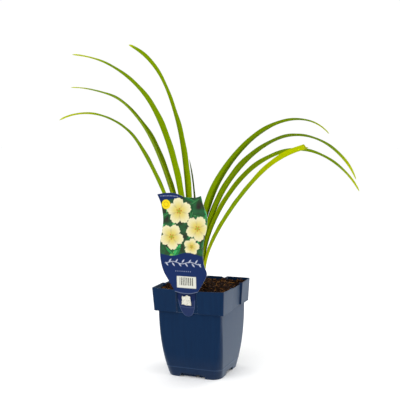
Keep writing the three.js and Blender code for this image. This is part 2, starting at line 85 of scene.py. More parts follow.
def grid_faces(rows, columns, close_rows=False, close_columns=False):
    """Corner numbers of the four-sided faces between neighbouring rows and columns of a grid."""
    row, column = np.meshgrid(np.arange(rows - (not close_rows)), np.arange(columns - (not close_columns)),
                              indexing="ij")
    next_row, next_column = (row + 1) % rows, (column + 1) % columns
    corners = [row * columns + column, row * columns + next_column,
               next_row * columns + next_column, next_row * columns + column]
    return np.stack(corners, -1).reshape(-1, 4)


def cap_faces(ring, pole):
    """Triangles that close a ring of points with one point in its middle."""
    return np.stack([ring, np.roll(ring, -1), np.full(len(ring), pole)], -1)


def six_volumes(points, faces):
    """Six times the volume inside closed faces: the sum of a . (b x c) over their triangles."""
    total = 0.0
    for k in range(1, faces.shape[1] - 1):
        a, b, c = points[faces[:, 0]], points[faces[:, k]], points[faces[:, k + 1]]
        total += np.einsum("ij,ij->", a, np.cross(b, c))
    return total


def new_mesh(name, points, *face_sets, closed=True):
    """A mesh in the frame from points and one or more sets of faces; a closed skin faces outwards."""
    points = np.asarray(points, float).reshape(-1, 3)
    if closed and sum(six_volumes(points, faces) for faces in face_sets) < 0:
        face_sets = [faces[:, ::-1] for faces in face_sets]
    mesh = bpy.data.meshes.new(name)
    all_faces = [face for faces in face_sets for face in faces.tolist()]
    mesh.from_pydata(placed(points).tolist(), [], all_faces)
    mesh.shade_smooth()
    return mesh


def capped_tubes(name, points, rows, columns):
    """A mesh of closed tubes. Each tube's points are its rings, one row of columns after another, then
    the end point that closes its first ring and the one that closes its last."""
    one = rows * columns + 2
    start = (np.arange(len(points)) * one)[:, None, None]
    walls = (grid_faces(rows, columns, close_columns=True) + start).reshape(-1, 4)
    ring = np.arange(columns)
    ends = [cap_faces(ring[::-1], one - 2), cap_faces(ring + (rows - 1) * columns, one - 1)]
    return new_mesh(name, points, walls, (np.concatenate(ends) + start).reshape(-1, 3))


def add_piece(name, mesh, material, slot, *stands_for):
    """Puts a mesh in the scene as a piece of the plant, which takes the place of the named solids."""
    piece = bpy.data.objects.new(name, mesh)
    bpy.context.scene.collection.objects.link(piece)
    mesh.materials.append(material)
    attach(piece, "root")
    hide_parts(*stands_for)
    print(f"{name}: {len(mesh.polygons)} faces, {np.round(np.array(piece.dimensions) / MM, 1)} mm")
    return piece


def thicken(piece, thickness, offset):
    """Gives a sheet its thickness in mm with a Solidify modifier, inwards, both ways or outwards as the
    offset is -1, 0 or 1."""
    solidify = piece.modifiers.new("thickness", "SOLIDIFY")
    solidify.thickness = thickness * MM
    solidify.offset = offset


def set_uv(mesh, uv):
    """Gives every corner of the mesh the (u, v) of its point."""
    corner_points = np.empty(len(mesh.loops), int)
    mesh.loops.foreach_get("vertex_index", corner_points)
    mesh.uv_layers.new(name="surface").data.foreach_set("uv", uv[corner_points].ravel())


def set_values(mesh, name, values):
    """Stores one number for each point under a name that a material can read."""
    mesh.attributes.new(name, "FLOAT", "POINT").data.foreach_set("value", np.ravel(values))


print("a grid of 4 by 5 points has", len(grid_faces(4, 5)), "faces")


# %% Colours and nodes
def linear(hex_colour):
    """An sRGB hex colour as linear red, green and blue. For each channel c of 0 to 1 that is
    ((c + 0.055) / 1.055) ^ 2.4, or c / 12.92 where c is 0.04045 or less."""
    srgb = np.array([int(hex_colour[i:i + 2], 16) for i in (1, 3, 5)]) / 255
    return np.where(srgb > 0.04045, ((srgb + 0.055) / 1.055) ** 2.4, srgb / 12.92)


def paint(hex_colour):
    """A hex colour in the form that a node's colour socket takes."""
    return (*linear(hex_colour), 1.0)


def add(tree, kind, inputs=None, **settings):
    """Adds a node with its settings. An input is set to a value, or linked to another node's output."""
    node = tree.nodes.new("ShaderNode" + kind)
    for setting, value in settings.items():
        setattr(node, setting, value)
    for socket, value in (inputs or {}).items():
        if isinstance(value, bpy.types.NodeSocket):
            tree.links.new(value, node.inputs[socket])
        else:
            node.inputs[socket].default_value = value
    return node


def new_material(name):
    """An empty material with its node tree."""
    material = bpy.data.materials.new(name)
    material.use_nodes = True
    material.node_tree.nodes.clear()
    return material, material.node_tree


SHARE, FIRST, SECOND, MIXED = 0, 6, 7, 2  # a Mix node's colour sockets, by number
print("navy #001a37 is linear", np.round(linear("#001a37"), 4))

# %% [markdown]
# ## Camera, light and floor
# The plant is seen from a little above the pot's rim and from the right of its front, with a long lens
# that keeps the pot's sides nearly parallel. A pale floor and a pale world stand for a studio sweep.
# The pale world alone would do, but it lights a leaf alike from all sides. So a large lamp beside the
# camera lights what faces it, and the half of a leaf that is folded away stays darker. A second, weaker
# one from behind lines the leaves' upper edges. A third stands off to the right and lights nothing by
# itself: only its image in the satin plastic shows, as the grey-blue gloss of the pot's right side.

# %% Camera
CAMERA_PLACE = np.array([446.1, -1070.5, 373.5])
CAMERA_YAW, CAMERA_PITCH, CAMERA_ROLL = np.radians([22.681, 5.78, -0.866])
FRAME_PIXELS, FOCAL_PIXELS, SENSOR_MM = 400, 792.8, 36

forward = np.array([-math.sin(CAMERA_YAW) * math.cos(CAMERA_PITCH),
                    math.cos(CAMERA_YAW) * math.cos(CAMERA_PITCH), -math.sin(CAMERA_PITCH)])
level = np.array([math.cos(CAMERA_YAW), math.sin(CAMERA_YAW), 0])
upright = np.cross(level, forward)
right = math.cos(CAMERA_ROLL) * level + math.sin(CAMERA_ROLL) * upright
up = math.cos(CAMERA_ROLL) * upright - math.sin(CAMERA_ROLL) * level

camera = bpy.data.objects.new("camera", bpy.data.cameras.new("camera"))
bpy.context.scene.collection.objects.link(camera)
camera.data.sensor_width = SENSOR_MM
camera.data.lens = FOCAL_PIXELS / FRAME_PIXELS * SENSOR_MM
placement = np.eye(4)
placement[:3, :3] = np.stack([right, up, -forward], -1)
placement[:3, 3] = placed(CAMERA_PLACE)
camera.matrix_world = placement.T.tolist()
bpy.context.scene.camera = camera
print("lens, mm:", camera.data.lens)

# %% Lamps and world
scene = bpy.context.scene
scene.view_settings.view_transform = "Standard"


def add_lamp(name, place, aim, size, power):
    """A square soft lamp at a place, turned to its aim, in millimetres round the pot's axis and watts."""
    lamp = bpy.data.objects.new(name, bpy.data.lights.new(name, "AREA"))
    scene.collection.objects.link(lamp)
    lamp.data.size = size * MM
    lamp.data.energy = power
    lamp.location = placed(place)
    toward = Vector(placed(aim) - placed(place))
    lamp.rotation_euler = toward.to_track_quat("-Z", "Y").to_euler()
    lamp.visible_camera = False
    return lamp


# Each lamp's name, place, aim, size and power.
LAMPS = (("key_lamp", (-500, -1500, 1100), (0, 0, 220), 1100, 13),
         ("back_lamp", (900, 1300, 900), (0, 0, 200), 900, 6),
         ("side_lamp", (1500, -300, 250), (0, 0, 80), 1200, 450))
lamps = {lamp[0]: add_lamp(*lamp) for lamp in LAMPS}
lamps["side_lamp"].visible_diffuse = False
print("lamps:", *lamps)

WORLD_STRENGTH = 1.02
world = bpy.data.worlds.new("studio")
scene.world = world
world.use_nodes = True
background = world.node_tree.nodes["Background"]
background.inputs["Color"].default_value = (1, 1, 1, 1)
background.inputs["Strength"].default_value = WORLD_STRENGTH

# %% Floor
# Matt painted board scatters light evenly, so the pot's shadow fades softly into plain white.
pale_board, tree = new_material("matt_white_board")
shader = add(tree, "BsdfPrincipled", {"Base Color": paint("#fefefe"), "Roughness": 0.9,
                                      "Specular IOR Level": 0.1})
add(tree, "OutputMaterial", {"Surface": shader.outputs[0]})

STUDIO_HALF = 9000
studio_corners = STUDIO_HALF * np.array([[-1, -1, 0], [1, -1, 0], [1, 1, 0], [-1, 1, 0]])
floor_mesh = new_mesh("studio_floor", studio_corners, np.array([[0, 1, 2, 3]]), closed=False)
floor = bpy.data.objects.new("studio_floor", floor_mesh)
floor_mesh.materials.append(pale_board)
scene.collection.objects.link(floor)
print("floor, m across:", 2 * STUDIO_HALF * MM)

# %% [markdown]
# ## The pot
# It is one injection moulding: a square body that swells upwards from a small base, with round corners
# that open out towards the base, and a wide band round its top. The band is set back in the middle of
# each side, where a tag can be hooked. It could be cut from blocks with booleans, but then every edge
# needs a bevel of its own. Here the wall is one closed surface, ring above ring, and a mask says how far
# each point stands out. Columns and rows lie close together where the mask steps, which keeps the edges
# crisp and gives them the small round of a real mould.

# %% The square rings
POT_HEIGHT, POT_WALL = 133, 1.4
RIM_HALF, RIM_BOW, RIM_SAG = 55.8, 0.8, 1.2
BAND_BOTTOM, BAND_FOOT_HALF, BAND_CORNER = 98.5, 53.8, 1.2
BODY_TOP, BODY_TOP_HALF, CORNER = 98, 49.4, 3
BASE_HALF, BASE_CORNER = 41.2, 15
RECESS_FOOT, RECESS_RIM = 50.9, 52.3
# The recess's two ends, from the middle of each side: back, left, front and right.
RECESS_ENDS = np.array([[-18, 18], [-18, 18], [-14, 18], [-20.5, 18]])
FRONT_LIP_DROP, RIGHT_LIP_DROP = 1.5, 3.2
LIP_NOTCH, NOTCH_DROP = 13, 1.3
ARCH_HALVES, FLOOR_UNDER = np.array([19.3, 13.5, 19.3, 13.5]), 5.6


def body_half(z):
    """Half width of the body: base + (top - base)(1 - d ^ 2.7), d the share of the height below the band."""
    down = np.clip(1 - z / BODY_TOP, 0, 1)
    return BASE_HALF + (BODY_TOP_HALF - BASE_HALF) * (1 - down ** 2.7)


def body_corner(z):
    """Radius of the corners: 15 mm at the base, down to 3 mm below the band by d ^ 1.5, 1.2 mm on it."""
    body = CORNER + (BASE_CORNER - CORNER) * np.clip(1 - z / BODY_TOP, 0, 1) ** 1.5
    return mix(body, BAND_CORNER, smooth(BODY_TOP - 0.3, BAND_BOTTOM + 0.3, z))


def up_band(z):
    """Share of the way up the band: 0 at its foot and 1 at the rim."""
    return np.clip((z - BAND_BOTTOM) / (POT_HEIGHT - BAND_BOTTOM), 0, 1)


def recess_plane(z):
    """Distance of the recess's face from the axis: it leans outwards with the band."""
    return mix(RECESS_FOOT, RECESS_RIM, up_band(z))


def recess_end(along, quarter):
    """Distance from a side's middle to the recess's end, on the hand where the place along it lies."""
    return np.abs(RECESS_ENDS[quarter, (np.asarray(along) > 0).astype(int)])


def square_ring(half, corner, z, arc, along, quarter):
    """Points of a square ring. In one quarter, a point is corner * (cos arc, sin arc) out from the
    corner's centre, or on the straight side at (along, half). The quarter is then turned into place."""
    flat = half - corner
    x = np.where(arc < 90, flat, along) + corner * np.cos(np.radians(arc))
    y = flat + corner * np.sin(np.radians(arc))
    turn = np.radians(90 * quarter)
    return np.stack(np.broadcast_arrays(x * np.cos(turn) - y * np.sin(turn),
                                        x * np.sin(turn) + y * np.cos(turn), z), -1)


print("body's half width at its foot, half way and top, mm:", body_half(np.array([0, 49, 98])).round(1))

# %% The wall's columns
EDGE = 1.0  # the mask's steps are drawn within this distance of the recess's edges, mm
OUTER_KEY, INNER_KEY = 0.55, 0.42
ARC_PARTS, NEAR_CORNER, NEAR_EDGE, MIDDLE = 12, 14, 8, 12


def wall_columns():
    """Each column as (arc angle, key, quarter): 0 to 90 degrees round a corner, then 1 down to -1 along
    the side. The outer and inner keys are kept for the two sides of the recess's edge."""
    arc = np.linspace(0, 90, ARC_PARTS, endpoint=False)
    half_side = np.concatenate([np.linspace(1, OUTER_KEY, NEAR_CORNER, endpoint=False),
                                np.linspace(OUTER_KEY, INNER_KEY, NEAR_EDGE, endpoint=False),
                                np.linspace(INNER_KEY, 0, MIDDLE, endpoint=False)])
    key = np.concatenate([half_side, [0], -half_side[:0:-1]])
    arcs = np.concatenate([arc, np.full(len(key), 90.0)])
    keys = np.concatenate([np.ones(len(arc)), key])
    return np.tile(arcs, 4), np.tile(keys, 4), np.repeat(np.arange(4), len(arcs))


def along_side(key, flat, z, quarter, inset=0):
    """Distance along a side of a column: 0 at its middle, the recess's edge between the inner and the
    outer key, which leads down to the arch's edge at the base, and the end of the straight at key 1."""
    edge = mix(ARCH_HALVES[quarter] + 0.7, recess_end(key, quarter), smooth(0, BODY_TOP, z)) + inset
    size = np.abs(key)
    inner = size / INNER_KEY * (edge - EDGE)
    step = edge - EDGE + (size - INNER_KEY) / (OUTER_KEY - INNER_KEY) * 2 * EDGE
    outer = mix(edge + EDGE, flat, (size - OUTER_KEY) / (1 - OUTER_KEY))
    return np.sign(key) * np.where(size < INNER_KEY, inner, np.where(size < OUTER_KEY, step, outer))


print("columns round the wall:", len(wall_columns()[0]))

# %% The wall's outline at each height
BLOCK_CORNER, STEP = 2.2, 0.4
RIDGE_HEIGHT, RIDGE_PROUD, RIDGE_WIDTH = 15.0, 0.25, 0.7
SMALLEST_CORNER = 0.8


def block_mask(along, z, inset, quarter):
    """1 on the four corner blocks of the band and 0 elsewhere. A block's outline is a rectangle with
    round corners, taken as a signed distance, and the mask is an S-step 0.8 mm wide across it."""
    side = recess_end(along, quarter) + inset + BLOCK_CORNER - np.abs(along)
    low = BAND_BOTTOM + inset + BLOCK_CORNER - z
    distance = np.minimum(np.maximum(side, low), 0) + np.hypot(np.maximum(side, 0), np.maximum(low, 0))
    return 1 - smooth(-STEP, STEP, distance - BLOCK_CORNER)


def wall_half(along, z, inset, quarter):
    """Half width of the pot: the body, with the band's blocks standing out from it where the mask says,
    each side bowed a little at the rim, a thin ridge near the base, and all of it drawn in by inset."""
    plane = mix(body_half(z), recess_plane(z), smooth(BODY_TOP - 0.1, BAND_BOTTOM + 0.4, z))
    bow = RIM_BOW * up_band(z) * (1 - np.clip(along / (RIM_HALF - BAND_CORNER), -1, 1) ** 2)
    band = mix(BAND_FOOT_HALF, RIM_HALF, up_band(z)) + bow
    ridge = RIDGE_PROUD * np.exp(-((z - RIDGE_HEIGHT) / RIDGE_WIDTH) ** 2)
    return mix(plane + ridge, band, block_mask(along, z, inset, quarter)) - inset


def rim_drop(along, quarter):
    """How far the rim lies below the pot's height. On the front and the right (quarters 2 and 3) each
    side sags by up to 1.2 mm, and the lip of the recess is lower still. The lip at the back has a notch
    at each end, and the one on the left has none."""
    end = recess_end(along, quarter)
    in_recess = 1 - smooth(end - EDGE, end + EDGE, np.abs(along))
    sag = RIM_SAG * (1 - np.clip(along / RIM_HALF, -1, 1) ** 2)
    in_notch = smooth(LIP_NOTCH - 1, LIP_NOTCH + 1, np.abs(along)) * in_recess
    return np.choose(quarter, [NOTCH_DROP * in_notch, np.zeros_like(along),
                               np.maximum(sag, FRONT_LIP_DROP * in_recess),
                               sag + RIGHT_LIP_DROP * in_recess])


def wall_ring(level, inset, columns):
    """One ring of the wall at a level. Levels above the band's foot are drawn down by the rim's drop,
    and levels near the base are drawn up over the arches between the feet."""
    arc, key, quarter = columns
    corner = np.maximum(body_corner(level) - inset, SMALLEST_CORNER)
    flat = body_half(level) - inset - corner if level < BAND_BOTTOM else RIM_HALF - corner
    along = along_side(key, flat, level, quarter, inset)
    arch_half = ARCH_HALVES[quarter]
    in_arch = 1 - smooth(arch_half - EDGE, arch_half + EDGE, np.abs(along))
    on_side = arc >= 90
    z = level - on_side * rim_drop(along, quarter) * smooth(BAND_BOTTOM, POT_HEIGHT, level)
    z = z + FLOOR_UNDER * on_side * in_arch * np.clip(1 - level / (2 * FLOOR_UNDER), 0, 1)
    half = wall_half(np.where(on_side, along, flat), z, inset, quarter)
    # Beyond the recess's edge the columns are spread anew, up to where this ring's corner starts.
    near_block = np.abs(along_side(np.sign(key) * OUTER_KEY, flat, level, quarter, inset))
    past_edge = (np.abs(key) - OUTER_KEY) / (1 - OUTER_KEY)
    spread = np.sign(key) * mix(near_block, half - corner, past_edge)
    return square_ring(half, corner, z, arc, np.where(past_edge >= 0, spread, along), quarter)


print("rim's drop at the middle of each side, mm:", rim_drop(np.zeros(4), np.arange(4)))


# %% The wall as one closed surface
FOOT_EDGE, FOOT_WALL = ((0, 0.5), (0.15, 0.2)), 2.8  # the foot's outer edge as (level, inset), mm


def rows_between(*spans):
    """Heights for the rings: each span is (from, to, number of steps)."""
    return np.concatenate([np.linspace(a, b, n, endpoint=False) for a, b, n in spans])


def pot_wall():
    """The wall from the foot's outer edge up the outside, over the round rim, down the inside to the
    foot's inner edge, and closed there. The rim is half a circle as wide as the wall is thick, and the
    rings lie close together over the ridge and at the band's foot."""
    columns = wall_columns()
    rim_round = POT_WALL / 2
    rim_start = POT_HEIGHT - rim_round
    outside = rows_between((0.6, 13.4, 10), (13.4, 16.6, 10), (16.6, 97.4, 26), (97.4, 99.2, 14),
                           (99.2, 101.4, 7), (101.4, rim_start, 10))
    inside = rows_between((rim_start, 104, 8), (104, 98, 14), (98, 6, 14))
    rings = [wall_ring(level, inset, columns) for level, inset in FOOT_EDGE]
    rings += [wall_ring(z, 0, columns) for z in outside]
    rings += [wall_ring(rim_start + rim_round * np.sin(t), rim_round * (1 - np.cos(t)), columns)
              for t in np.linspace(0, np.pi, 9)]
    rings += [wall_ring(z, POT_WALL, columns) for z in inside[1:]]
    rings += [wall_ring(level, FOOT_WALL, columns) for level in (FLOOR_UNDER, 0)]
    grid = np.stack(rings)
    print("rings and columns of the wall:", grid.shape[:2])
    return new_mesh("pot_wall", grid, grid_faces(*grid.shape[:2], close_rows=True, close_columns=True))


# %% [markdown]
# ## Moulded polypropylene
# Nursery pots are injection moulded from coloured polypropylene. It flows down the mould and leaves
# faint streaks from rim to base, and the steel's fine texture gives it a satin face. Seen nearly
# edge-on, such a face mirrors the pale room, so the pot's side looks grey-blue while its front stays
# deep navy. Peat dust clings near the foot, and a pale painted highlight runs along the ridge there.
# One navy with some gloss would look like wet paint, so each of these marks is a noise of its own real
# size, read at the place on the pot, which needs no unwrapping.

# %% Plastic of the pot
def moulded_polypropylene(name, sheen):
    """Navy plastic from a mould: satin, faintly streaked from rim to foot, dusty near the foot, and with a
    painted highlight along the ridge. The sheen is the share of the pale room that a polished face
    mirrors edge-on."""
    material, tree = new_material(name)
    place = add(tree, "TexCoord").outputs["Object"]
    # Flow streaks, about 3 mm wide and 60 mm long.
    stretched = add(tree, "Mapping", {"Vector": place, "Scale": (320, 320, 16)})
    streaks = add(tree, "TexNoise", {"Vector": stretched.outputs[0], "Scale": 1.0, "Detail": 3.0})
    cloudy = add(tree, "TexNoise", {"Vector": place, "Scale": 28.0, "Detail": 4.0, "Roughness": 0.6})
    height = add(tree, "SeparateXYZ", {"Vector": place})
    near_foot = add(tree, "MapRange", {"Value": height.outputs["Z"], "From Min": 0.035, "From Max": 0.0})
    dust = add(tree, "Math", {0: near_foot.outputs[0], 1: cloudy.outputs["Fac"]}, operation="MULTIPLY")
    dust_share = add(tree, "Math", {0: dust.outputs[0], 1: 0.12}, operation="MULTIPLY")
    navy = add(tree, "Mix", {SHARE: streaks.outputs["Fac"], FIRST: paint("#001a37"),
                             SECOND: paint("#012344")}, data_type="RGBA")
    dusty = add(tree, "Mix", {SHARE: dust_share.outputs[0], FIRST: navy.outputs[MIXED],
                              SECOND: paint("#6b6258")}, data_type="RGBA")
    # Painted highlight: a pale line along the ridge near the base, standing for the light its upper slope
    # catches.
    from_ridge = add(tree, "Math", {0: height.outputs["Z"], 1: RIDGE_HEIGHT * MM}, operation="SUBTRACT")
    off_ridge = add(tree, "Math", {0: from_ridge.outputs[0]}, operation="ABSOLUTE")
    ridge_highlight = add(tree, "MapRange", {"Value": off_ridge.outputs[0], "From Min": 0.0009, "From Max": 0.0002,
                                 "To Max": 0.2})
    with_ridge_highlight = add(tree, "Mix", {SHARE: ridge_highlight.outputs[0], FIRST: dusty.outputs[MIXED],
                               SECOND: paint("#4a6488")}, data_type="RGBA")
    satin = add(tree, "MapRange", {"Value": streaks.outputs["Fac"], "To Min": 0.3, "To Max": 0.44})
    # The mould's texture: pits about 0.6 mm apart and 0.01 mm deep.
    pits = add(tree, "TexNoise", {"Vector": place, "Scale": 1600.0, "Detail": 2.0})
    fine = add(tree, "Bump", {"Height": pits.outputs["Fac"], "Distance": 0.00001, "Strength": 0.5})
    waves = add(tree, "Bump", {"Height": streaks.outputs["Fac"], "Distance": 0.00006, "Strength": 0.6,
                               "Normal": fine.outputs[0]})
    shader = add(tree, "BsdfPrincipled", {"Base Color": with_ridge_highlight.outputs[MIXED], "Roughness": satin.outputs[0],
                                          "Normal": waves.outputs[0], "IOR": 1.49,
                                          "Specular IOR Level": 0.06, "Sheen Weight": sheen,
                                          "Sheen Roughness": 0.39, "Sheen Tint": paint("#dceeff")})
    add(tree, "OutputMaterial", {"Surface": shader.outputs[0]})
    return material


WALL_SHEEN = 0.44
pot_plastic = moulded_polypropylene("moulded_polypropylene_navy", WALL_SHEEN)
# A copy of the plastic without sheen, for painted shade: the inner ring and floor under the pot stay dark.
shaded_plastic = moulded_polypropylene("moulded_polypropylene_painted_shade", 0.0)
add_piece("pot_wall", pot_wall(), pot_plastic, "pot_plastic", "pot")

# %% [markdown]
# ## The pot's floor and inner ring
# The floor is raised on the feet and has eight drain holes. It is drawn as a sheet of small squares:
# those inside a hole are left out, and the corners nearest to a hole's edge are moved onto its circle.
# A Solidify modifier gives it its thickness. Behind the arches between the feet stands a thin ring with a
# notch in each side, which lets water out.

# %% Floor plate
FLOOR_TOP, DRAIN_RADIUS, DRAIN_REACH, DRAIN_COUNT = 7.0, 3.5, 25, 8
FLOOR_HALF, FLOOR_CORNER, CELL = 40.2, 15.0, 1.2


def floor_plate():
    """A flat sheet of 1.2 mm squares inside a rounded square, without the squares inside a drain hole.
    Grid points less than 0.72 of a square from a hole's edge move onto it."""
    axis = np.arange(-FLOOR_HALF, FLOOR_HALF + CELL / 2, CELL)
    x, y = np.meshgrid(axis, axis, indexing="ij")
    angles = (np.arange(DRAIN_COUNT) + 0.5) / DRAIN_COUNT * 2 * np.pi
    centres = DRAIN_REACH * np.stack([np.cos(angles), np.sin(angles)], -1)
    away = np.stack([x, y], -1)[..., None, :] - centres
    nearest = np.linalg.norm(away, axis=-1).argmin(-1)
    away = np.take_along_axis(away, nearest[..., None, None], -2)[..., 0, :]
    distance = np.linalg.norm(away, axis=-1)
    near = (np.abs(distance - DRAIN_RADIUS) < 0.72 * CELL)[..., None]
    onto_circle = centres[nearest] + away * (DRAIN_RADIUS / np.maximum(distance, 0.1))[..., None]
    flat = np.where(near, onto_circle, np.stack([x, y], -1))
    points = np.concatenate([flat, np.full((*x.shape, 1), FLOOR_TOP)], -1).reshape(-1, 3)
    faces = grid_faces(*x.shape)
    middle = points[faces].mean(1)
    from_hole = np.linalg.norm(middle[:, None, :2] - centres, axis=-1).min(1)
    beyond = np.maximum(np.abs(middle[:, :2]) - (FLOOR_HALF - FLOOR_CORNER), 0)
    keep = (from_hole > DRAIN_RADIUS) & (np.linalg.norm(beyond, axis=1) < FLOOR_CORNER)
    used, faces = np.unique(faces[keep], return_inverse=True)
    return new_mesh("pot_floor", points[used], faces.reshape(-1, 4), closed=False)


pot_floor = add_piece("pot_floor", floor_plate(), shaded_plastic, "pot_plastic", "pot")
thicken(pot_floor, FLOOR_TOP - FLOOR_UNDER, -1)

# %% Inner ring with its notches
RING_HALF, RING_CORNER, RING_WALL, RING_LIFT, RING_SUNK = 36, 10, 1.5, 0.7, 0.6
NOTCH_MIDDLE, NOTCH_HALF, NOTCH_STEP = 6, 2.2, 0.5
RING_ARC_PARTS, RING_SIDE_PARTS = 10, 91
SHARP = math.radians(50)  # edges that turn by more than this are shaded as edges


def inner_ring():
    """A square ring 1.5 mm thick whose lower edge rises by an S-step to the floor at each notch. Its
    upper edge is sunk 0.6 mm into the floor."""
    arc = np.concatenate([np.linspace(0, 90, RING_ARC_PARTS, endpoint=False), np.full(RING_SIDE_PARTS, 90.0)])
    key = np.concatenate([np.ones(RING_ARC_PARTS), np.linspace(1, -1, RING_SIDE_PARTS)])
    quarter = np.repeat(np.arange(4), len(arc))
    arc, key = np.tile(arc, 4), np.tile(key, 4)
    # The notch lies on the same hand of each side, seen from outside.
    along = key * (RING_HALF - RING_CORNER)
    from_notch = np.abs(-along - NOTCH_MIDDLE)
    gap = (1 - smooth(NOTCH_HALF - NOTCH_STEP, NOTCH_HALF + NOTCH_STEP, from_notch)) * (arc >= 90)
    edge = mix(RING_LIFT, FLOOR_UNDER, gap)
    rings = []
    for inset, share in ((0, 0), (0, 0.5), (0, 1), (RING_WALL, 1), (RING_WALL, 0.5), (RING_WALL, 0)):
        z = mix(edge, FLOOR_UNDER + RING_SUNK, share)
        rings.append(square_ring(RING_HALF - inset, RING_CORNER - inset, z, arc, along, quarter))
    grid = np.stack(rings)
    mesh = new_mesh("pot_ring", grid, grid_faces(*grid.shape[:2], close_rows=True, close_columns=True))
    mesh.set_sharp_from_angle(angle=SHARP)
    return mesh


add_piece("pot_ring", inner_ring(), shaded_plastic, "pot_plastic", "pot")

# %% [markdown]
# ## The soil
# Potting mix is peat, composted bark and coir: dark crumbs a few millimetres across, with lighter
# fibres through them. A displacement texture alone would look like moulded clay, because real crumbs
# overhang. So the ground is a lumpy surface, and some two thousand separate crumbs, bark flakes and
# curved fibres lie on it. All the crumbs are one mesh, worked out as one array, and each has few faces.

# %% Lumps and height of the ground
SOIL_EDGE, MOUND_HEIGHT, MOUND_RADIUS, LUMP_HEIGHT = 127.5, 8, 30, 1.1
CROWN_X, CROWN_LONG, CROWN_WIDE = -7.3, 11.5, 4.6
FAN_TURN, ROOT_HEIGHT = math.radians(20), 126
SOIL_GAP, DIP_DEPTH = 0.3, 4.5
WAVES = ((1, 5.3, 9.1), (1, -11.3, 4.7), (0.7, 3.1, -3.9), (0.5, 8.3, 2.7))  # strength, reach in x and y
CRUMBS = ((1.3, 6.0), (0.9, 3.0), (0.5, 1.6))  # height and size


def value_noise(x, y, size, seed):
    """Soft random values from -1 to 1: random numbers on a square lattice of the given size, joined by
    S-shaped steps along x and then along y."""
    table = np.random.default_rng(seed).uniform(-1, 1, (64, 64))
    column, row = np.floor(x / size).astype(int), np.floor(y / size).astype(int)
    right_share, up_share = smooth(0, 1, x / size - column), smooth(0, 1, y / size - row)
    near = mix(table[row % 64, column % 64], table[row % 64, (column + 1) % 64], right_share)
    far = mix(table[(row + 1) % 64, column % 64], table[(row + 1) % 64, (column + 1) % 64], right_share)
    return mix(near, far, up_share)


def across_fan(x, y):
    """Distances along the fan and across it from the crown's middle."""
    dx = x - CROWN_X
    return (dx * math.cos(FAN_TURN) + y * math.sin(FAN_TURN),
            y * math.cos(FAN_TURN) - dx * math.sin(FAN_TURN))


def ground_height(x, y):
    """A mound 8 exp(-(r / 30) ^ 2) round the crown, four crossed sine waves, then crumbs of 6, 3 and
    1.6 mm from noise. Close round the leaves' feet the ground dips to let them out."""
    reach = np.hypot(x - CROWN_X, y) / MOUND_RADIUS
    waves = sum(strength * np.sin(x / along_x + y / along_y) for strength, along_x, along_y in WAVES)
    crumbs = sum(high * value_noise(x, y, size, seed) for seed, (high, size) in enumerate(CRUMBS, 1))
    along, across = across_fan(x, y)
    from_crown = np.hypot(along / (CROWN_LONG + 5), across / (CROWN_WIDE + 4))
    dip = DIP_DEPTH * (1 - smooth(0.55, 1.25, from_crown))
    return SOIL_EDGE + MOUND_HEIGHT * np.exp(-reach * reach) + LUMP_HEIGHT * waves / 2 + crumbs - dip


print("ground's height 30 mm in front of the axis, mm:", ground_height(np.zeros(1), np.array([-30.0])))


# %% The ground as one closed body
GROUND_RINGS, GROUND_COLUMNS = 110, 260
GROUND_LEVELS = (118, 101.5, 97, 75, 50, 30, 18, 10, FLOOR_TOP + SOIL_GAP)
BLOCK_START = (2.1, 3)  # the soil widens into a corner block between these distances past the recess, mm


def ground_body():
    """The top is the pot's inside outline drawn together towards the middle, ring by ring. The sides
    follow the wall down, and the last rings draw together again just above the floor plate."""
    turn = np.linspace(0, 2 * np.pi, GROUND_COLUMNS, endpoint=False)
    spoke = np.stack([np.cos(turn), np.sin(turn)], -1)

    def outline(half, corner):
        """Distance to the edge of a rounded square along each spoke, by bisection on its distance."""
        low, high = np.zeros(GROUND_COLUMNS), np.full(GROUND_COLUMNS, 1.5 * half)
        for _ in range(30):
            middle = (low + high) / 2
            beyond = np.abs(spoke * middle[:, None]) - (half - corner)
            distance = (np.hypot(*np.maximum(beyond, 0).T) + np.minimum(beyond.max(1), 0)) - corner
            low, high = np.where(distance < 0, middle, low), np.where(distance < 0, high, middle)
        return low

    def band_outline(half, narrow_half):
        """The band's inside: its wide outline at the corner blocks, and the narrow one between them."""
        narrow = outline(narrow_half - POT_WALL - SOIL_GAP, CORNER)
        x, y = (spoke * narrow[:, None]).T
        side = np.where(np.abs(y) > np.abs(x), np.where(y > 0, 0, 2), np.where(x < 0, 1, 3))
        along = np.choose(side, [x, y, -x, -y])
        beyond = np.abs(along) - recess_end(along, side)
        return mix(narrow, outline(half - POT_WALL - SOIL_GAP, 2), smooth(*BLOCK_START, beyond))

    def level_ring(reach, z):
        """One ring of points at the height z, as far out along each spoke as reach says."""
        return np.concatenate([spoke * reach[:, None], np.full((GROUND_COLUMNS, 1), z)], -1)[None]

    share = (np.arange(1, GROUND_RINGS + 1) / GROUND_RINGS) ** 0.8
    flat = spoke * (band_outline(RIM_HALF - 0.4, recess_plane(SOIL_EDGE)) * share[:, None])[..., None]
    rings = [np.concatenate([flat, ground_height(flat[..., 0], flat[..., 1])[..., None]], -1)]
    for z in GROUND_LEVELS:
        if z > BAND_BOTTOM:
            reach = band_outline(mix(BAND_FOOT_HALF, RIM_HALF, up_band(z)), recess_plane(z))
        else:
            reach = outline(body_half(z) - POT_WALL - SOIL_GAP, max(body_corner(z) - POT_WALL, 1.5))
        rings.append(level_ring(reach, z))
    rings += [level_ring(reach * part, z) for part in (0.66, 0.33)]
    grid = np.concatenate(rings)
    poles = [[0, 0, ground_height(np.zeros(1), np.zeros(1))[0]], [0, 0, z]]
    points = np.concatenate([grid.reshape(-1, 3), poles])
    return capped_tubes("soil_ground", points[None], len(grid), GROUND_COLUMNS)


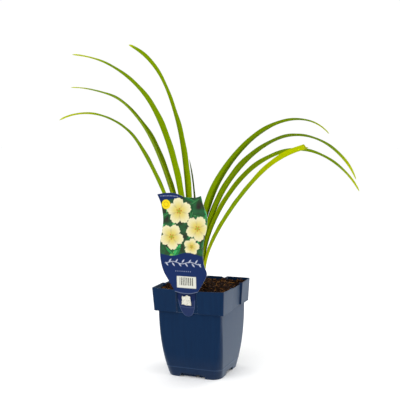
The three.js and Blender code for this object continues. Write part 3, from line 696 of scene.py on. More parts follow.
# %% Peat, bark and coir
def peat_mix():
    """Damp peat with composted bark. Water fills its pores, so it is nearly black and has no gloss, and
    flecks of bark a millimetre wide show rust brown in it."""
    material, tree = new_material("damp_peat_and_composted_bark")
    place = add(tree, "TexCoord").outputs["Object"]
    clods = add(tree, "TexNoise", {"Vector": place, "Scale": 160.0, "Detail": 6.0, "Roughness": 0.7})
    grains = add(tree, "TexNoise", {"Vector": place, "Scale": 900.0, "Detail": 4.0, "Roughness": 0.7})
    dark = add(tree, "Mix", {SHARE: clods.outputs["Fac"], FIRST: paint("#0a0604"),
                             SECOND: paint("#24150b")}, data_type="RGBA")
    fleck = add(tree, "MapRange", {"Value": grains.outputs["Fac"], "From Min": 0.58, "From Max": 0.72})
    brown = add(tree, "Mix", {SHARE: fleck.outputs[0], FIRST: dark.outputs[MIXED],
                              SECOND: paint("#6b3a12")}, data_type="RGBA")
    rough = add(tree, "Bump", {"Height": grains.outputs["Fac"], "Distance": 0.0006, "Strength": 0.9})
    shader = add(tree, "BsdfPrincipled", {"Base Color": brown.outputs[MIXED], "Roughness": 0.95,
                                          "Normal": rough.outputs[0], "Specular IOR Level": 0.02})
    add(tree, "OutputMaterial", {"Surface": shader.outputs[0]})
    return material


def plant_fibre(name, dark_hex, light_hex):
    """Dead roots or coir, the husk fibre of coconuts. Each hair has its own tint, from dark to light, by
    its stored value, so a few bright ones stand out from the dark mix."""
    material, tree = new_material(name)
    tint = add(tree, "Attribute", attribute_name="tint")
    colour = add(tree, "Mix", {SHARE: tint.outputs["Fac"], FIRST: paint(dark_hex),
                               SECOND: paint(light_hex)}, data_type="RGBA")
    shader = add(tree, "BsdfPrincipled", {"Base Color": colour.outputs[MIXED], "Roughness": 0.8,
                                          "Specular IOR Level": 0.06})
    add(tree, "OutputMaterial", {"Surface": shader.outputs[0]})
    return material


peat = peat_mix()
add_piece("soil_ground", ground_body(), peat, "potting_soil", "soil")

# %% Crumbs and bark flakes
INNER_HALF = RIM_HALF - POT_WALL - 1.6
NARROW_HALF = 23.5  # nearer to a side's middle than this, everything stays clear of the recess
CRUMB_COUNT, CRUMB_RINGS, CRUMB_SIDES = 1500, 5, 8


def scattered(count, seed):
    """Random places on the ground inside the pot, outside the crown and clear of the recesses, as x
    and y."""
    random = np.random.default_rng(seed)
    x, y = random.uniform(-INNER_HALF, INNER_HALF, (2, 3 * count))
    along, across = across_fan(x, y)
    clear = np.hypot(along / (CROWN_LONG + 3), across / (CROWN_WIDE + 2)) > 1
    in_recess = (np.minimum(np.abs(x), np.abs(y)) < NARROW_HALF) & (
        np.maximum(np.abs(x), np.abs(y)) > RECESS_FOOT - POT_WALL - 1.5)
    keep = np.flatnonzero(clear & ~in_recess)[:count]
    return x[keep], y[keep]


def crumb_heap(count, seed):
    """Lumps with 5 rings of 8 points, each a squashed ball of its own size, turn and roughness:
    radius * (1 + 0.35 * random) in the direction of the point, then scaled, turned and put in place."""
    random = np.random.default_rng(seed)
    x, y = scattered(count, seed + 1)
    polar = np.pi * (np.arange(CRUMB_RINGS) + 1) / (CRUMB_RINGS + 1)
    turn = 2 * np.pi * np.arange(CRUMB_SIDES) / CRUMB_SIDES
    ball = np.stack(np.broadcast_arrays(np.sin(polar)[:, None] * np.cos(turn),
                                        np.sin(polar)[:, None] * np.sin(turn),
                                        np.cos(polar)[:, None]), -1).reshape(-1, 3)
    ball = np.concatenate([ball, [[0, 0, 1], [0, 0, -1]]])
    size = 0.55 + 1.5 * random.uniform(0, 1, count) ** 2.5
    lumps = ball * (1 + 0.35 * random.uniform(-1, 1, (count, len(ball), 1)))
    lumps *= size[:, None, None] * random.uniform([0.9, 0.6, 0.35], [1.6, 1.1, 0.9], (count, 3))[:, None]
    angle = random.uniform(0, np.pi, count)[:, None]
    tip = random.uniform(-0.6, 0.6, count)[:, None]
    a, b, c = lumps[..., 0], lumps[..., 1], lumps[..., 2]
    a, c = a * np.cos(tip) - c * np.sin(tip), a * np.sin(tip) + c * np.cos(tip)
    a, b = a * np.cos(angle) - b * np.sin(angle), a * np.sin(angle) + b * np.cos(angle)
    height = ground_height(x, y) + 0.15 * size
    points = np.stack([a + x[:, None], b + y[:, None], c + height[:, None]], -1)
    return capped_tubes("soil_crumbs", points, CRUMB_RINGS, CRUMB_SIDES)


add_piece("soil_crumbs", crumb_heap(CRUMB_COUNT, 11), peat, "potting_soil", "soil")


# %% Fibres
FIBRE_PLACES, FIBRE_SIDES = 9, 4


def fibre_heap(name, count, seed, length, radius):
    """Curved hairs: 9 places along an arc that turns as it goes, lifted by h (1 - u u) in the middle and
    sunk at both ends, with a ring of 4 points round each place and a point at each end."""
    random = np.random.default_rng(seed)
    x, y = scattered(count, seed + 1)
    u = np.linspace(-1, 1, FIBRE_PLACES)
    long = random.uniform(*length, count)[:, None]
    heading = random.uniform(0, 2 * np.pi, count)[:, None] + random.uniform(-1.1, 1.1, count)[:, None] * u
    step = long / (FIBRE_PLACES - 1)
    middle = heading[:, FIBRE_PLACES // 2, None]
    px = x[:, None] + np.cumsum(np.cos(heading) * step, 1) - long / 2 * np.cos(middle)
    py = y[:, None] + np.cumsum(np.sin(heading) * step, 1) - long / 2 * np.sin(middle)
    px, py = (np.clip(p, -INNER_HALF, INNER_HALF) for p in (px, py))
    side_limit = RECESS_FOOT - POT_WALL - 1
    px = np.where(np.abs(py) < NARROW_HALF, np.clip(px, -side_limit, side_limit), px)
    py = np.where(np.abs(px) < NARROW_HALF, np.clip(py, -side_limit, side_limit), py)
    lift = random.uniform(0.3, 2.2, count)[:, None] * (1 - u * u) - 0.4 * u * u
    pz = np.minimum(ground_height(px, py) + lift, POT_HEIGHT + 6)
    thick = (random.uniform(*radius, count)[:, None] * (1 - 0.7 * np.abs(u) ** 3))[..., None]
    corner = 2 * np.pi * np.arange(FIBRE_SIDES) / FIBRE_SIDES
    across = np.stack([-np.sin(heading), np.cos(heading)], -1)[:, :, None, :]
    ring_xy = np.stack([px, py], -1)[:, :, None, :] + across * (thick * np.cos(corner))[..., None]
    ring_z = pz[..., None] + thick * np.sin(corner)
    rings = np.concatenate([ring_xy, ring_z[..., None]], -1).reshape(count, -1, 3)
    ends = np.stack([np.stack([p[:, 0], p[:, -1]], -1) for p in (px, py, pz)], -1)
    points = np.concatenate([rings, ends], 1)
    mesh = capped_tubes(name, points, FIBRE_PLACES, FIBRE_SIDES)
    set_values(mesh, "tint", np.repeat(random.uniform(0, 1, count), points.shape[1]))
    return mesh


# Each kind's piece, count, seed, length and radius in mm, then its material, dark and light.
FIBRES = (("soil_roots", 420, 21, (4, 14), (0.12, 0.3), "dark_root_fibre", "#140a05", "#4a260c"),
          ("soil_coir", 260, 31, (3, 15), (0.1, 0.26), "golden_coir_fibre", "#5f3410", "#b47a34"))
for *heap, material_name, dark_hex, light_hex in FIBRES:
    fibre = plant_fibre(material_name, dark_hex, light_hex)
    add_piece(heap[0], fibre_heap(*heap), fibre, "potting_soil", "soil")

# %% [markdown]
# ## The leaves
# A daylily leaf is a long strap with a keel: the two halves rise from the midrib like a shallow V that
# flattens towards the tip. It could be drawn as a curve with a bevel profile, but a bevel can't change
# its fold, roll and width along the way. So each leaf is one function of two parameters, the share of
# the way from root to tip and the place across, and the same sizes shape its solid. The blade is
# thickest at the keel and thin at the margins, which ripple slightly.

# %% The nine leaves' sizes
# side and rank: the row and place in the fan. leans: degrees from upright at equal steps to the tip.
# drift: sideways travel at the tip. fold: rise of the halves at root and tip. roll: turn half way and
# at the tip. widths and sway: flat width and waver in the fan's plane at every tenth of the way.
# green: 0 for deep green to 1 for yellow. tip: share of the length where yellow sets in.
LEAVES = {
    "leaf_left_1": dict(
        side=-1, rank=4, length=355, leans=[14, 12, 22, 28, 64, 120], drift=-45, fold=[45, 32],
        roll=[-5, -5], widths=[8, 9, 11, 13, 15, 16, 15.5, 10.8, 8, 7.5, 4.8],
        sway=[0, 0, 0, 0, 0, 0.3, -0.4, 0.4, -0.5, -1.1, -1.4], green=0.30, tip=0.78),
    "leaf_left_2": dict(
        side=-1, rank=3, length=384, leans=[10, 9, 17, 27, 58, 94], drift=30, fold=[45, 26],
        roll=[13, 0], widths=[8, 10, 14, 17.5, 19, 19.2, 18.5, 12.4, 11.2, 7, 3.6],
        sway=[0, 0, -0.6, -1.1, -1.3, -1.1, -1.2, -1.3, 1, -0.8, 0.8], green=0.45, tip=0.9),
    "leaf_left_3": dict(
        side=-1, rank=2, length=418, leans=[7, 6, 11, 23, 51, 84], drift=-15, fold=[45, 30],
        roll=[-12, -5], widths=[8, 10.5, 16, 21.2, 23.2, 23, 22.8, 18.6, 13.2, 7.3, 5],
        sway=[0, 0, 0, -0.2, -0.1, -0.4, -0.5, 0, 0, 0, -1.2], green=0.36, tip=0.86),
    "leaf_left_4": dict(
        side=-1, rank=1, length=389, leans=[3, 2, 5, 12, 27, 60], drift=40, fold=[45, 30],
        roll=[-8, -30], widths=[8, 10, 16.5, 23.5, 25, 23.5, 20, 13.6, 11.2, 12.6, 6.6],
        sway=[0, 0, -0.4, -0.8, -0.4, 0, 0, -0.8, -0.5, -0.5, -1.6], green=0.42, tip=0.97),
    "leaf_centre": dict(
        side=-1, rank=0, length=190, leans=[0, 0, 11], drift=5, fold=[45, 30], roll=[0, 0],
        widths=[5, 5.2, 5.9, 6.6, 7, 7.2, 7.2, 7, 6.4, 5, 1.4],
        sway=[0, 0, 0, 0, 0, 0, 0.3, 0.6, 0.8, 0.8, 0.8], green=0.12, tip=0.97),
    "leaf_right_1": dict(
        side=1, rank=0, length=374, leans=[-1, 6, 27, 45, 78, 139], drift=55, fold=[45, 25],
        roll=[-88, -10], widths=[8, 9.8, 14.5, 15.4, 14.6, 12.2, 10.2, 9.5, 8.1, 5.5, 4.6],
        sway=[0, -1.2, -2.8, -2.2, -0.3, -0.1, -0.5, -0.3, -0.3, 0.3, 0.4], green=0.30, tip=0.87),
    "leaf_right_2": dict(
        side=1, rank=1, length=403, leans=[0, 14, 33, 59, 114, 158], drift=-20, fold=[45, 15],
        roll=[6, -8], widths=[8, 11.5, 18, 22.5, 23.2, 24.2, 17, 15.3, 11.6, 15.6, 6],
        sway=[0, 0.3, 0.5, -0.1, -0.3, -0.5, -1.3, 0, 0.1, -1, -2], green=0.33, tip=0.85),
    "leaf_right_3": dict(
        side=1, rank=2, length=391, leans=[1, 17, 38, 67, 118, 151], drift=35, fold=[45, 18],
        roll=[-14, -6], widths=[8, 10, 14, 16.6, 17.1, 18.8, 15.8, 13, 11.2, 11.8, 7.6],
        sway=[0, 0.5, 0.5, -0.6, -1.2, -0.3, -0.6, -0.4, -0.3, 0.2, 0.3], green=0.38, tip=0.86),
    "leaf_right_4": dict(
        side=1, rank=3, length=270, leans=[2, 18, 33, 38, 53, 76], drift=-40, fold=[45, 35],
        roll=[-3, -28], widths=[8, 9.5, 12.5, 15, 15.8, 16.6, 16.6, 16.2, 16.8, 17.4, 16.8],
        sway=[0, 0.3, 0.8, 0, -0.1, 0.3, -0.3, -0.6, -0.2, -0.2, -0.2], green=0.40, tip=0.5, cut=True),
}
RANK_GAP, NESTING = 2.6, 1.7  # the inmost leaf's distance from the fan's middle, and the next ones' steps
print("leaves:", len(LEAVES), "and their lengths, mm:", [leaf["length"] for leaf in LEAVES.values()])

# %% The leaf's middle line
STATIONS, FINER = 170, 4  # grid rows along a leaf, and small pieces of its path for each of them
FAN_ALONG = np.array([math.cos(FAN_TURN), math.sin(FAN_TURN), 0])
FAN_ACROSS = np.array([-math.sin(FAN_TURN), math.cos(FAN_TURN), 0])
UPWARD = np.array([0, 0, 1.0])


def through(values, share):
    """A smooth curve through equally spaced values (Catmull-Rom). With a, b, c and d the values round
    the share and t the way from b to c, it is half of
    2b + (c - a) t + (2a - 5b + 4c - d) t^2 + (3b - a - 3c + d) t^3."""
    values = np.asarray(values, float)
    padded = np.concatenate([[2 * values[0] - values[1]], values, [2 * values[-1] - values[-2]]])
    place = np.asarray(share) * (len(values) - 1)
    step = np.minimum(place.astype(int), len(values) - 2)
    t = (place - step).reshape(place.shape + (1,) * (values.ndim - 1))
    a, b, c, d = (padded[step + k] for k in range(4))
    return 0.5 * (2 * b + (c - a) * t + (2 * a - 5 * b + 4 * c - d) * t**2 + (3 * b - a - 3 * c + d) * t**3)


def unit(vectors):
    """Vectors divided by their lengths."""
    return vectors / np.linalg.norm(vectors, axis=-1, keepdims=True)


def middle_line(leaf):
    """Points of the keel line, and the directions forward, across and inward at each.
    The line leans by the leaf's angles: height is the sum of cos(lean) and outward travel the sum of
    sin(lean), a small piece at a time. It drifts out of the fan's plane by drift * share ^ 3, and
    wavers inside it by the sway."""
    share = np.linspace(0, 1, STATIONS + 1)
    pieces = STATIONS * FINER
    lean = np.radians(through(leaf["leans"], (np.arange(pieces) + 0.5) / pieces))
    piece = leaf["length"] / pieces
    outward = np.concatenate([[0], np.cumsum(np.sin(lean))])[::FINER] * piece
    height = np.concatenate([[0], np.cumsum(np.cos(lean))])[::FINER] * piece
    side = leaf["side"]
    root = side * (RANK_GAP + leaf["rank"] * NESTING)
    points = (np.array([CROWN_X, 0, ROOT_HEIGHT]) + np.outer(height, UPWARD)
              + np.outer(root + side * outward, FAN_ALONG) + np.outer(leaf["drift"] * share**3, FAN_ACROSS))
    lean = np.radians(through(leaf["leans"], share))
    forward = unit(np.outer(side * np.sin(lean), FAN_ALONG) + np.outer(np.cos(lean), UPWARD)
                   + np.outer(3 * leaf["drift"] * share**2 / leaf["length"], FAN_ACROSS))
    across = unit(FAN_ACROSS - forward * (forward @ FAN_ACROSS)[:, None])
    inward = -side * np.cross(across, forward)
    points = points + inward * through(leaf["sway"], share)[:, None]
    return share, points, forward, across, inward


for name, leaf in LEAVES.items():
    print(f"{name} rises to {middle_line(leaf)[1][:, 2].max():.0f} mm")

# %% The blade round it
KEEL_ROUND, POINT_SHARE = 0.12, 0.015
BLADE_THICK, THIN_HALF = 0.7, 1.6  # mm; a leaf narrower than twice this half is thinner too
RIPPLE, RIPPLE_LENGTH = 0.22, 6.5
ACROSS = 21


def blade_width(leaf, share):
    """Flat width, along a smooth curve through the leaf's widths. A whole leaf closes to a point over
    its last 1.5 %, as a square root; a cut one stays wide."""
    point = 1 if "cut" in leaf else np.sqrt(np.clip((1 - share) / POINT_SHARE, 0.01, 1))
    return through(leaf["widths"], share) * point


def torn_end(a):
    """How far the cut leaf's end is torn back at the place across a: a bell-shaped bite, a slanting
    corner and small teeth."""
    return 2.6 * np.exp(-((a - 0.35) / 0.3) ** 2) + 1.4 * (a < -0.4) * (-a - 0.4) + 0.3 * np.sin(17 * a)


def blade(leaf, seed):
    """Skin of a leaf. Across it, a runs from -1 to 1: the place is half * cos(fold) * a to the side and
    half * sin(fold) * (rise(a) - 1/2) up, where rise is |a| with a small round at the keel. The margins
    ripple up and down by a sine wave. The roll turns this section about the middle line, and half the
    thickness is added to either side along its normal."""
    share, points, forward, across, inward = middle_line(leaf)
    half = blade_width(leaf, share)[:, None] / 2
    fold = np.radians(mix(*leaf["fold"], share**1.5))[:, None]
    roll = np.radians(mix(leaf["roll"][0] * smooth(0.1, 0.4, share), leaf["roll"][1], smooth(0.5, 1, share)))
    roll = roll[:, None]
    face = inward * np.cos(roll) - across * np.sin(roll)
    spread = across * np.cos(roll) + inward * np.sin(roll)

    one_way = np.sin(np.linspace(-np.pi / 2, np.pi / 2, ACROSS))  # closer together at the margins
    a = np.concatenate([one_way, one_way[::-1]])
    skin = np.concatenate([np.full(ACROSS, -0.5), np.full(ACROSS, 0.5)])
    full_rise = math.hypot(1, KEEL_ROUND) - KEEL_ROUND
    rise = (np.hypot(a, KEEL_ROUND) - KEEL_ROUND) / full_rise
    slope = np.arctan2(np.sin(fold) * a / np.hypot(a, KEEL_ROUND) / full_rise, np.cos(fold))
    thick = BLADE_THICK * (1 - 0.7 * a * a) * np.minimum(1, half / THIN_HALF)
    phase = share[:, None] * leaf["length"] / RIPPLE_LENGTH + seed + 1.7 * np.sign(a)
    ripple = RIPPLE * a * a * np.sin(phase)
    sideways = half * np.cos(fold) * a - skin * thick * np.sin(slope)
    upwards = (half * np.sin(fold) * (rise - 0.5) + skin * thick * np.cos(slope)
               + ripple * np.minimum(1, half / 4) * smooth(0, 0.15, share)[:, None])
    back = ("cut" in leaf) * torn_end(a) * smooth(0.97, 1, share)[:, None]
    skin_points = (points[:, None] + spread[:, None] * sideways[..., None]
                   + face[:, None] * upwards[..., None] - forward[:, None] * back[..., None])
    return share, a, skin, skin_points


print("flat width of each leaf at its widest, mm:", [max(leaf["widths"]) for leaf in LEAVES.values()])


# %% Its ripeness, and the closed leaf
# How ripe the tip gets, how much riper the lower quarter is than the rest, and how dry the end is.
WHOLE_LEAF, CUT_LEAF = (1.0, 0.0, 0.0), (0.88, 0.4, 0.25)
FOOT_PALER, LOWER_PALER = 0.42, 0.15


def ripeness(leaf, along):
    """0 for deep green to 1 for yellow, and how dry the leaf is, both by the share of the way along it.
    The tip ripens by an S-step ^ 0.7 from the leaf's own tip share on. S-steps downwards make the foot,
    which grew in the shade, and the lower half paler."""
    ripest, lower_riper, driest = CUT_LEAF if "cut" in leaf else WHOLE_LEAF
    ripe = leaf["green"] + (ripest - leaf["green"]) * smooth(leaf["tip"], 1.0, along) ** 0.7
    ripe = ripe + FOOT_PALER * (1 - smooth(0.0, 0.14, along)) + LOWER_PALER * (1 - smooth(0.35, 0.6, along))
    ripe = ripe + lower_riper * (1 - smooth(0.12, 0.3, along))
    return ripe, driest * smooth(0.975, 1.0, along)


def leaf_mesh(name, leaf, seed):
    """The closed leaf with its (u, v): across from 0 to 1 and millimetres along, and its stored values:
    green to yellow, how far it is the underside, and how dry it is."""
    share, a, skin, grid = blade(leaf, seed)
    rows, columns = grid.shape[:2]
    points = np.concatenate([grid.reshape(-1, 3), [grid[0].mean(0), grid[-1].mean(0)]])
    mesh = capped_tubes(name, points[None], rows, columns)
    u, v = np.broadcast_arrays((a + 1) / 2, share[:, None] * leaf["length"])
    set_uv(mesh, np.concatenate([np.stack([u, v], -1).reshape(-1, 2), [[0.5, 0], [0.5, leaf["length"]]]]))
    under, along = np.broadcast_arrays((skin < 0).astype(float), share[:, None])
    ripe, dry = ripeness(leaf, along)
    for value_name, values in (("ripe", ripe), ("under", under), ("dry", dry)):
        end_values = [values[0].mean(), values[-1].mean()]
        set_values(mesh, value_name, np.concatenate([values.ravel(), end_values]))
    return mesh


foot_middle_tip = ripeness(LEAVES["leaf_left_1"], np.array([0, 0.5, 1]))[0]
print("ripeness of leaf_left_1 at its foot, middle and tip:", foot_middle_tip.round(2))


# %% [markdown]
# ## Living leaf
# A leaf's colour comes from inside: light goes in, is filtered by chlorophyll and comes back as a
# saturated yellow-green, with only a thin waxy gloss on top. Parallel veins run its whole length and
# stand out as fine ribs. As a tip ages its green fades first and yellow is left. An image could be
# wrapped round each blade, but here every leaf ages in its own way. So the colour is a ramp from deep
# green to yellow, read at each point's own ripeness.

# %% Leaf tissue
# Real veins lie about 1 mm apart. They are drawn up to 2 mm apart, as coarse as they need to be to show.
VEINS = 13
WAVE_A_UNIT = 0.3183  # a wave texture turns by 20 times its scale, in radians, over one unit


def leaf_tissue():
    """Living leaf under a thin coat of wax: a saturated yellow-green that glows where light falls on it,
    with a broad weak gloss and fine ribs along it."""
    material, tree = new_material("fresh_daylily_leaf")
    surface = add(tree, "UVMap", uv_map="surface").outputs[0]
    ripe = add(tree, "Attribute", attribute_name="ripe")
    under = add(tree, "Attribute", attribute_name="under")
    dry = add(tree, "Attribute", attribute_name="dry")
    # Long faint stripes and blotches: fine across the blade and slow along it.
    stretched = add(tree, "Mapping", {"Vector": surface, "Scale": (9, 0.035, 1)})
    mottle = add(tree, "TexNoise", {"Vector": stretched.outputs[0], "Scale": 1.0, "Detail": 4.0})
    uneven = add(tree, "MapRange", {"Value": mottle.outputs["Fac"], "To Min": -0.09, "To Max": 0.09})
    age = add(tree, "Math", {0: ripe.outputs["Fac"], 1: uneven.outputs[0]}, operation="ADD")
    ramp = add(tree, "ValToRGB", {"Fac": age.outputs[0]})
    stops = ramp.color_ramp.elements
    stops[0].position, stops[0].color = 0.0, paint("#3b5400")
    stops[1].position, stops[1].color = 1.0, paint("#afb900")
    for position, hex_colour in ((0.25, "#577100"), (0.5, "#738d00"), (0.75, "#97a300")):
        stops.new(position).color = paint(hex_colour)
    # Ribs: the mapping makes the blade 13 units wide, and each unit holds about one wave.
    shifted = add(tree, "Mapping", {"Vector": surface, "Scale": (VEINS, 0.0, 1)})
    ribs = add(tree, "TexWave", {"Vector": shifted.outputs[0], "Scale": WAVE_A_UNIT, "Distortion": 0.0},
               wave_type="BANDS", bands_direction="X", wave_profile="SIN")
    vein_share = add(tree, "MapRange", {"Value": ribs.outputs["Fac"], "From Min": 0.55, "From Max": 1.0,
                                        "To Max": 0.15})
    veined = add(tree, "Mix", {SHARE: vein_share.outputs[0], FIRST: ramp.outputs["Color"],
                               SECOND: paint("#90a204")}, data_type="RGBA")
    # The upper face holds more chlorophyll than the underside and is a darker green.
    upper = add(tree, "MapRange", {"Value": under.outputs["Fac"], "To Min": 0.18, "To Max": 0.0})
    dull = add(tree, "Mix", {SHARE: upper.outputs[0], FIRST: veined.outputs[MIXED],
                             SECOND: paint("#243c00")}, data_type="RGBA")
    withered = add(tree, "Mix", {SHARE: dry.outputs["Fac"], FIRST: dull.outputs[MIXED],
                                 SECOND: paint("#7d6a2c")}, data_type="RGBA")
    relief = add(tree, "Bump", {"Height": ribs.outputs["Fac"], "Distance": 0.00012, "Strength": 0.7})
    shader = add(tree, "BsdfPrincipled", {"Base Color": withered.outputs[MIXED], "Roughness": 0.48,
                                          "Normal": relief.outputs[0], "IOR": 1.42,
                                          "Specular IOR Level": 0.035, "Specular Tint": paint("#f4ff20")})
    add(tree, "OutputMaterial", {"Surface": shader.outputs[0]})
    return material


leaf_material = leaf_tissue()
for number, (leaf_name, leaf) in enumerate(LEAVES.items()):
    slot_name = "leaf_yellowing" if "cut" in leaf else "leaf_green"
    blade_name = leaf_name.replace("leaf", "blade")
    add_piece(blade_name, leaf_mesh(leaf_name, leaf, 1.3 * number), leaf_material, slot_name, leaf_name)

# %% [markdown]
# ## The crown
# At the soil the fan's leaves sheathe one another like a flattened leek. This short bundle could be nine
# more leaf bases, but only its outline shows between the leaves, so it is one ribbed oval column whose
# ribs are the sheaths' edges.

# %% Bundle of sheaths
CROWN_TOP, CROWN_BOTTOM = 125.3, 114
CROWN_ROWS, CROWN_COLUMNS, CROWN_RIBS = 28, 72, 9


def crown_bundle():
    """An oval column with half axes of 11.5 and 4.6 mm, turned with the fan. They are times a radius of
    0.94 + 0.05 cos(9 angle), and a profile that swells at half height and closes in a flat round top
    and bottom."""
    turn = np.linspace(0, 2 * np.pi, CROWN_COLUMNS, endpoint=False)
    share = np.linspace(0.02, 0.98, CROWN_ROWS)
    profile = (1 - np.abs(2 * share - 1) ** 6) ** 0.5 * (1 + 0.06 * np.sin(np.pi * share))
    radius = profile[:, None] * (0.94 + 0.05 * np.cos(CROWN_RIBS * turn))
    along, across = CROWN_LONG * radius * np.cos(turn), CROWN_WIDE * radius * np.sin(turn)
    foot, head = [CROWN_X, 0, CROWN_BOTTOM], [CROWN_X, 0, CROWN_TOP]
    grid = (np.array(foot) + along[..., None] * FAN_ALONG + across[..., None] * FAN_ACROSS
            + (share * (CROWN_TOP - CROWN_BOTTOM))[:, None, None] * UPWARD)
    points = np.concatenate([grid.reshape(-1, 3), [foot, head]])
    return capped_tubes("crown_sheaths", points[None], CROWN_ROWS, CROWN_COLUMNS)


def sheath_tissue():
    """Leaf sheath that grew under the soil. Without light it made no chlorophyll, so it is a pale,
    fibrous cream-green."""
    material, tree = new_material("blanched_leaf_sheath")
    place = add(tree, "TexCoord").outputs["Object"]
    stretched = add(tree, "Mapping", {"Vector": place, "Scale": (700, 700, 60)})
    fibres = add(tree, "TexNoise", {"Vector": stretched.outputs[0], "Scale": 1.0, "Detail": 3.0})
    colour = add(tree, "Mix", {SHARE: fibres.outputs["Fac"], FIRST: paint("#8f9a4c"),
                               SECOND: paint("#c9c98c")}, data_type="RGBA")
    relief = add(tree, "Bump", {"Height": fibres.outputs["Fac"], "Distance": 0.0002, "Strength": 0.6})
    shader = add(tree, "BsdfPrincipled", {"Base Color": colour.outputs[MIXED], "Roughness": 0.55,
                                          "Normal": relief.outputs[0]})
    add(tree, "OutputMaterial", {"Surface": shader.outputs[0]})
    return material


add_piece("crown_sheaths", crown_bundle(), sheath_tissue(), "crown_tissue", "crown")

# %% [markdown]
# ## The picture tag
# The tag is one die-cut sheet of printed polypropylene, 0.8 mm thick: a wavy card, a tongue that lies
# on the recess of the pot's band, and a strip that hooks over the lip. A filled curve would give the
# card's outline but no points inside it to carry a print. So the outline is four smooth curves, and a
# Coons patch fills them: every point is blended from the four edges, so the grid follows the cut edge
# exactly. Its flowers, leaves and borders are plain formulas of the place on the card, worked out as
# one colour for each point of a grid finer than 0.6 mm.

# %% Cut edges
TAG_RIGHT = [(16.6, 130.9), (24.9, 144), (31.3, 157.2), (27.8, 168.6), (25.9, 178.9), (26.4, 196),
             (28.7, 209.3), (31.9, 220.8), (33.2, 234), (32.2, 243.5), (27.4, 256.5), (24.6, 268.1)]
TAG_TOP = [(-42.6, 269.1), (-27.9, 271.4), (-13.3, 270.7), (-1, 266.3), (15.3, 265.6), (24.6, 268.1)]
TAG_LEFT = [(-18, 129.9), (-27.5, 145), (-35.5, 158.5), (-39.5, 173), (-40.6, 188), (-39.4, 203),
            (-36.4, 217), (-34.2, 231.7), (-35, 245), (-37.4, 257), (-42.6, 269.1)]
TAG_BOTTOM = [(-18, 129.9), (-9.6, 128.2), (-1, 127.7), (7.6, 128.4), (16.6, 130.9)]
CARD_FRONT, CARD_THICK = -57.4, 0.8
CARD_COLUMNS, CARD_ROWS = 130, 250


def even_points(points, count):
    """Points at equal distances along the smooth curve through the given ones."""
    dense = through(points, np.linspace(0, 1, 2000))
    distance = np.concatenate([[0], np.cumsum(np.linalg.norm(np.diff(dense, axis=0), axis=1))])
    wanted = np.linspace(0, distance[-1], count)
    return np.stack([np.interp(wanted, distance, dense[:, axis]) for axis in range(dense.shape[1])], -1)


def coons_patch(bottom, top, left, right, columns, rows):
    """A sheet inside four edge curves. A point is the blend of the bottom and top edges, plus the blend
    of the left and right edges, minus the blend of the four corners."""
    bottom, top = even_points(bottom, columns), even_points(top, columns)
    left, right = even_points(left, rows)[:, None], even_points(right, rows)[:, None]
    u = np.linspace(0, 1, columns)[:, None]
    v = np.linspace(0, 1, rows)[:, None, None]
    corners = mix(mix(bottom[0], bottom[-1], u), mix(top[0], top[-1], u), v)
    return mix(bottom, top, v) + mix(left, right, u) - corners


card_points = coons_patch(TAG_BOTTOM, TAG_TOP, TAG_LEFT, TAG_RIGHT, CARD_COLUMNS, CARD_ROWS)
print("card, mm wide and tall:", np.ptp(card_points, axis=(0, 1)).round(1))


# %% Motifs of the print
def tone(*hex_colours):
    """Linear colours of several hex values, as rows."""
    return np.array([linear(h) for h in hex_colours])


def lay(picture, colour, cover):
    """Puts a colour over the picture where the cover is 1, and lets it through where it is 0."""
    return mix(picture, colour, np.clip(cover, 0, 1)[..., None])


def leaf_motif(x, z, centre, length, turn):
    """A pointed oval: 1 where the place across is nearer than 1 - along ^ 2, and 0 outside. Also gives
    the place across, by which one half is shaded darker than the other."""
    dx, dz = x - centre[0], z - centre[1]
    along = (dx * np.cos(turn) + dz * np.sin(turn)) / length
    across = (dz * np.cos(turn) - dx * np.sin(turn)) / (0.3 * length)
    half = np.clip(1 - along * along, 0, 1)
    return smooth(-0.12, 0.12, half - np.abs(across)) * (np.abs(along) < 1), across


print("leaf motif's cover, from its middle to its tip:",
      leaf_motif(np.linspace(0, 1, 5), 0, (0, 0), 1, 0)[0].round(2))


# %% One flower
def ruffled_edge(radius, angle, petal):
    """Distance from a flower's middle to its edge: radius * (0.66 + 0.34 petal ^ 0.6), with petal 1 along
    a petal's middle and 0 between two, and two small sine waves round it for the ruffles."""
    return radius * (0.66 + 0.34 * petal**0.6 + 0.025 * np.sin(17 * angle) + 0.02 * np.sin(29 * angle + 2))


def blossom(picture, x, z, centre, radius, turn):
    """Five round petals, where petal = |cos 2.5 angle|: cream at the ruffled edge, yellow towards a green
    throat, with veins, a darker line between petals, orange anthers and a shadow all round."""
    dx, dz = x - centre[0], z - centre[1]
    distance, angle = np.hypot(dx, dz), np.arctan2(dz, dx) - turn
    petal = np.abs(np.cos(2.5 * angle))
    edge = ruffled_edge(radius, angle, petal)
    share = distance / edge
    cream, butter, throat, fold = tone("#ccc59a", "#c2b258", "#8d9128", "#947f40")
    colour = mix(butter, cream, smooth(0.25, 0.85, share)[..., None])
    colour = mix(colour, fold, (0.75 * (1 - petal) ** 3 * smooth(1.0, 0.55, share))[..., None])
    vein = 0.5 + 0.5 * np.sin(31 * angle)
    colour = mix(colour, butter, (0.35 * vein * smooth(1.0, 0.4, share))[..., None])
    rim = smooth(0.86, 1.0, share) * 0.35
    colour = mix(colour, tone("#d9d4ba")[0], rim[..., None])
    colour = mix(colour, throat, smooth(0.28, 0.05, share)[..., None])
    picture = lay(picture, picture * 0.45, 0.8 * smooth(1.6, -0.6, distance - edge))
    picture = lay(picture, colour, smooth(-0.35, 0.35, edge - distance))
    anther = smooth(0.35, 0.65, np.cos(5 * angle + 1.2))
    anther = anther * smooth(0.1, 0.14, share) * smooth(0.26, 0.22, share)
    return lay(picture, tone("#b05c14")[0], anther)


print("a flower of radius 1 between two petals and along one:",
      ruffled_edge(1, np.zeros(2), np.array([0, 1])).round(2))

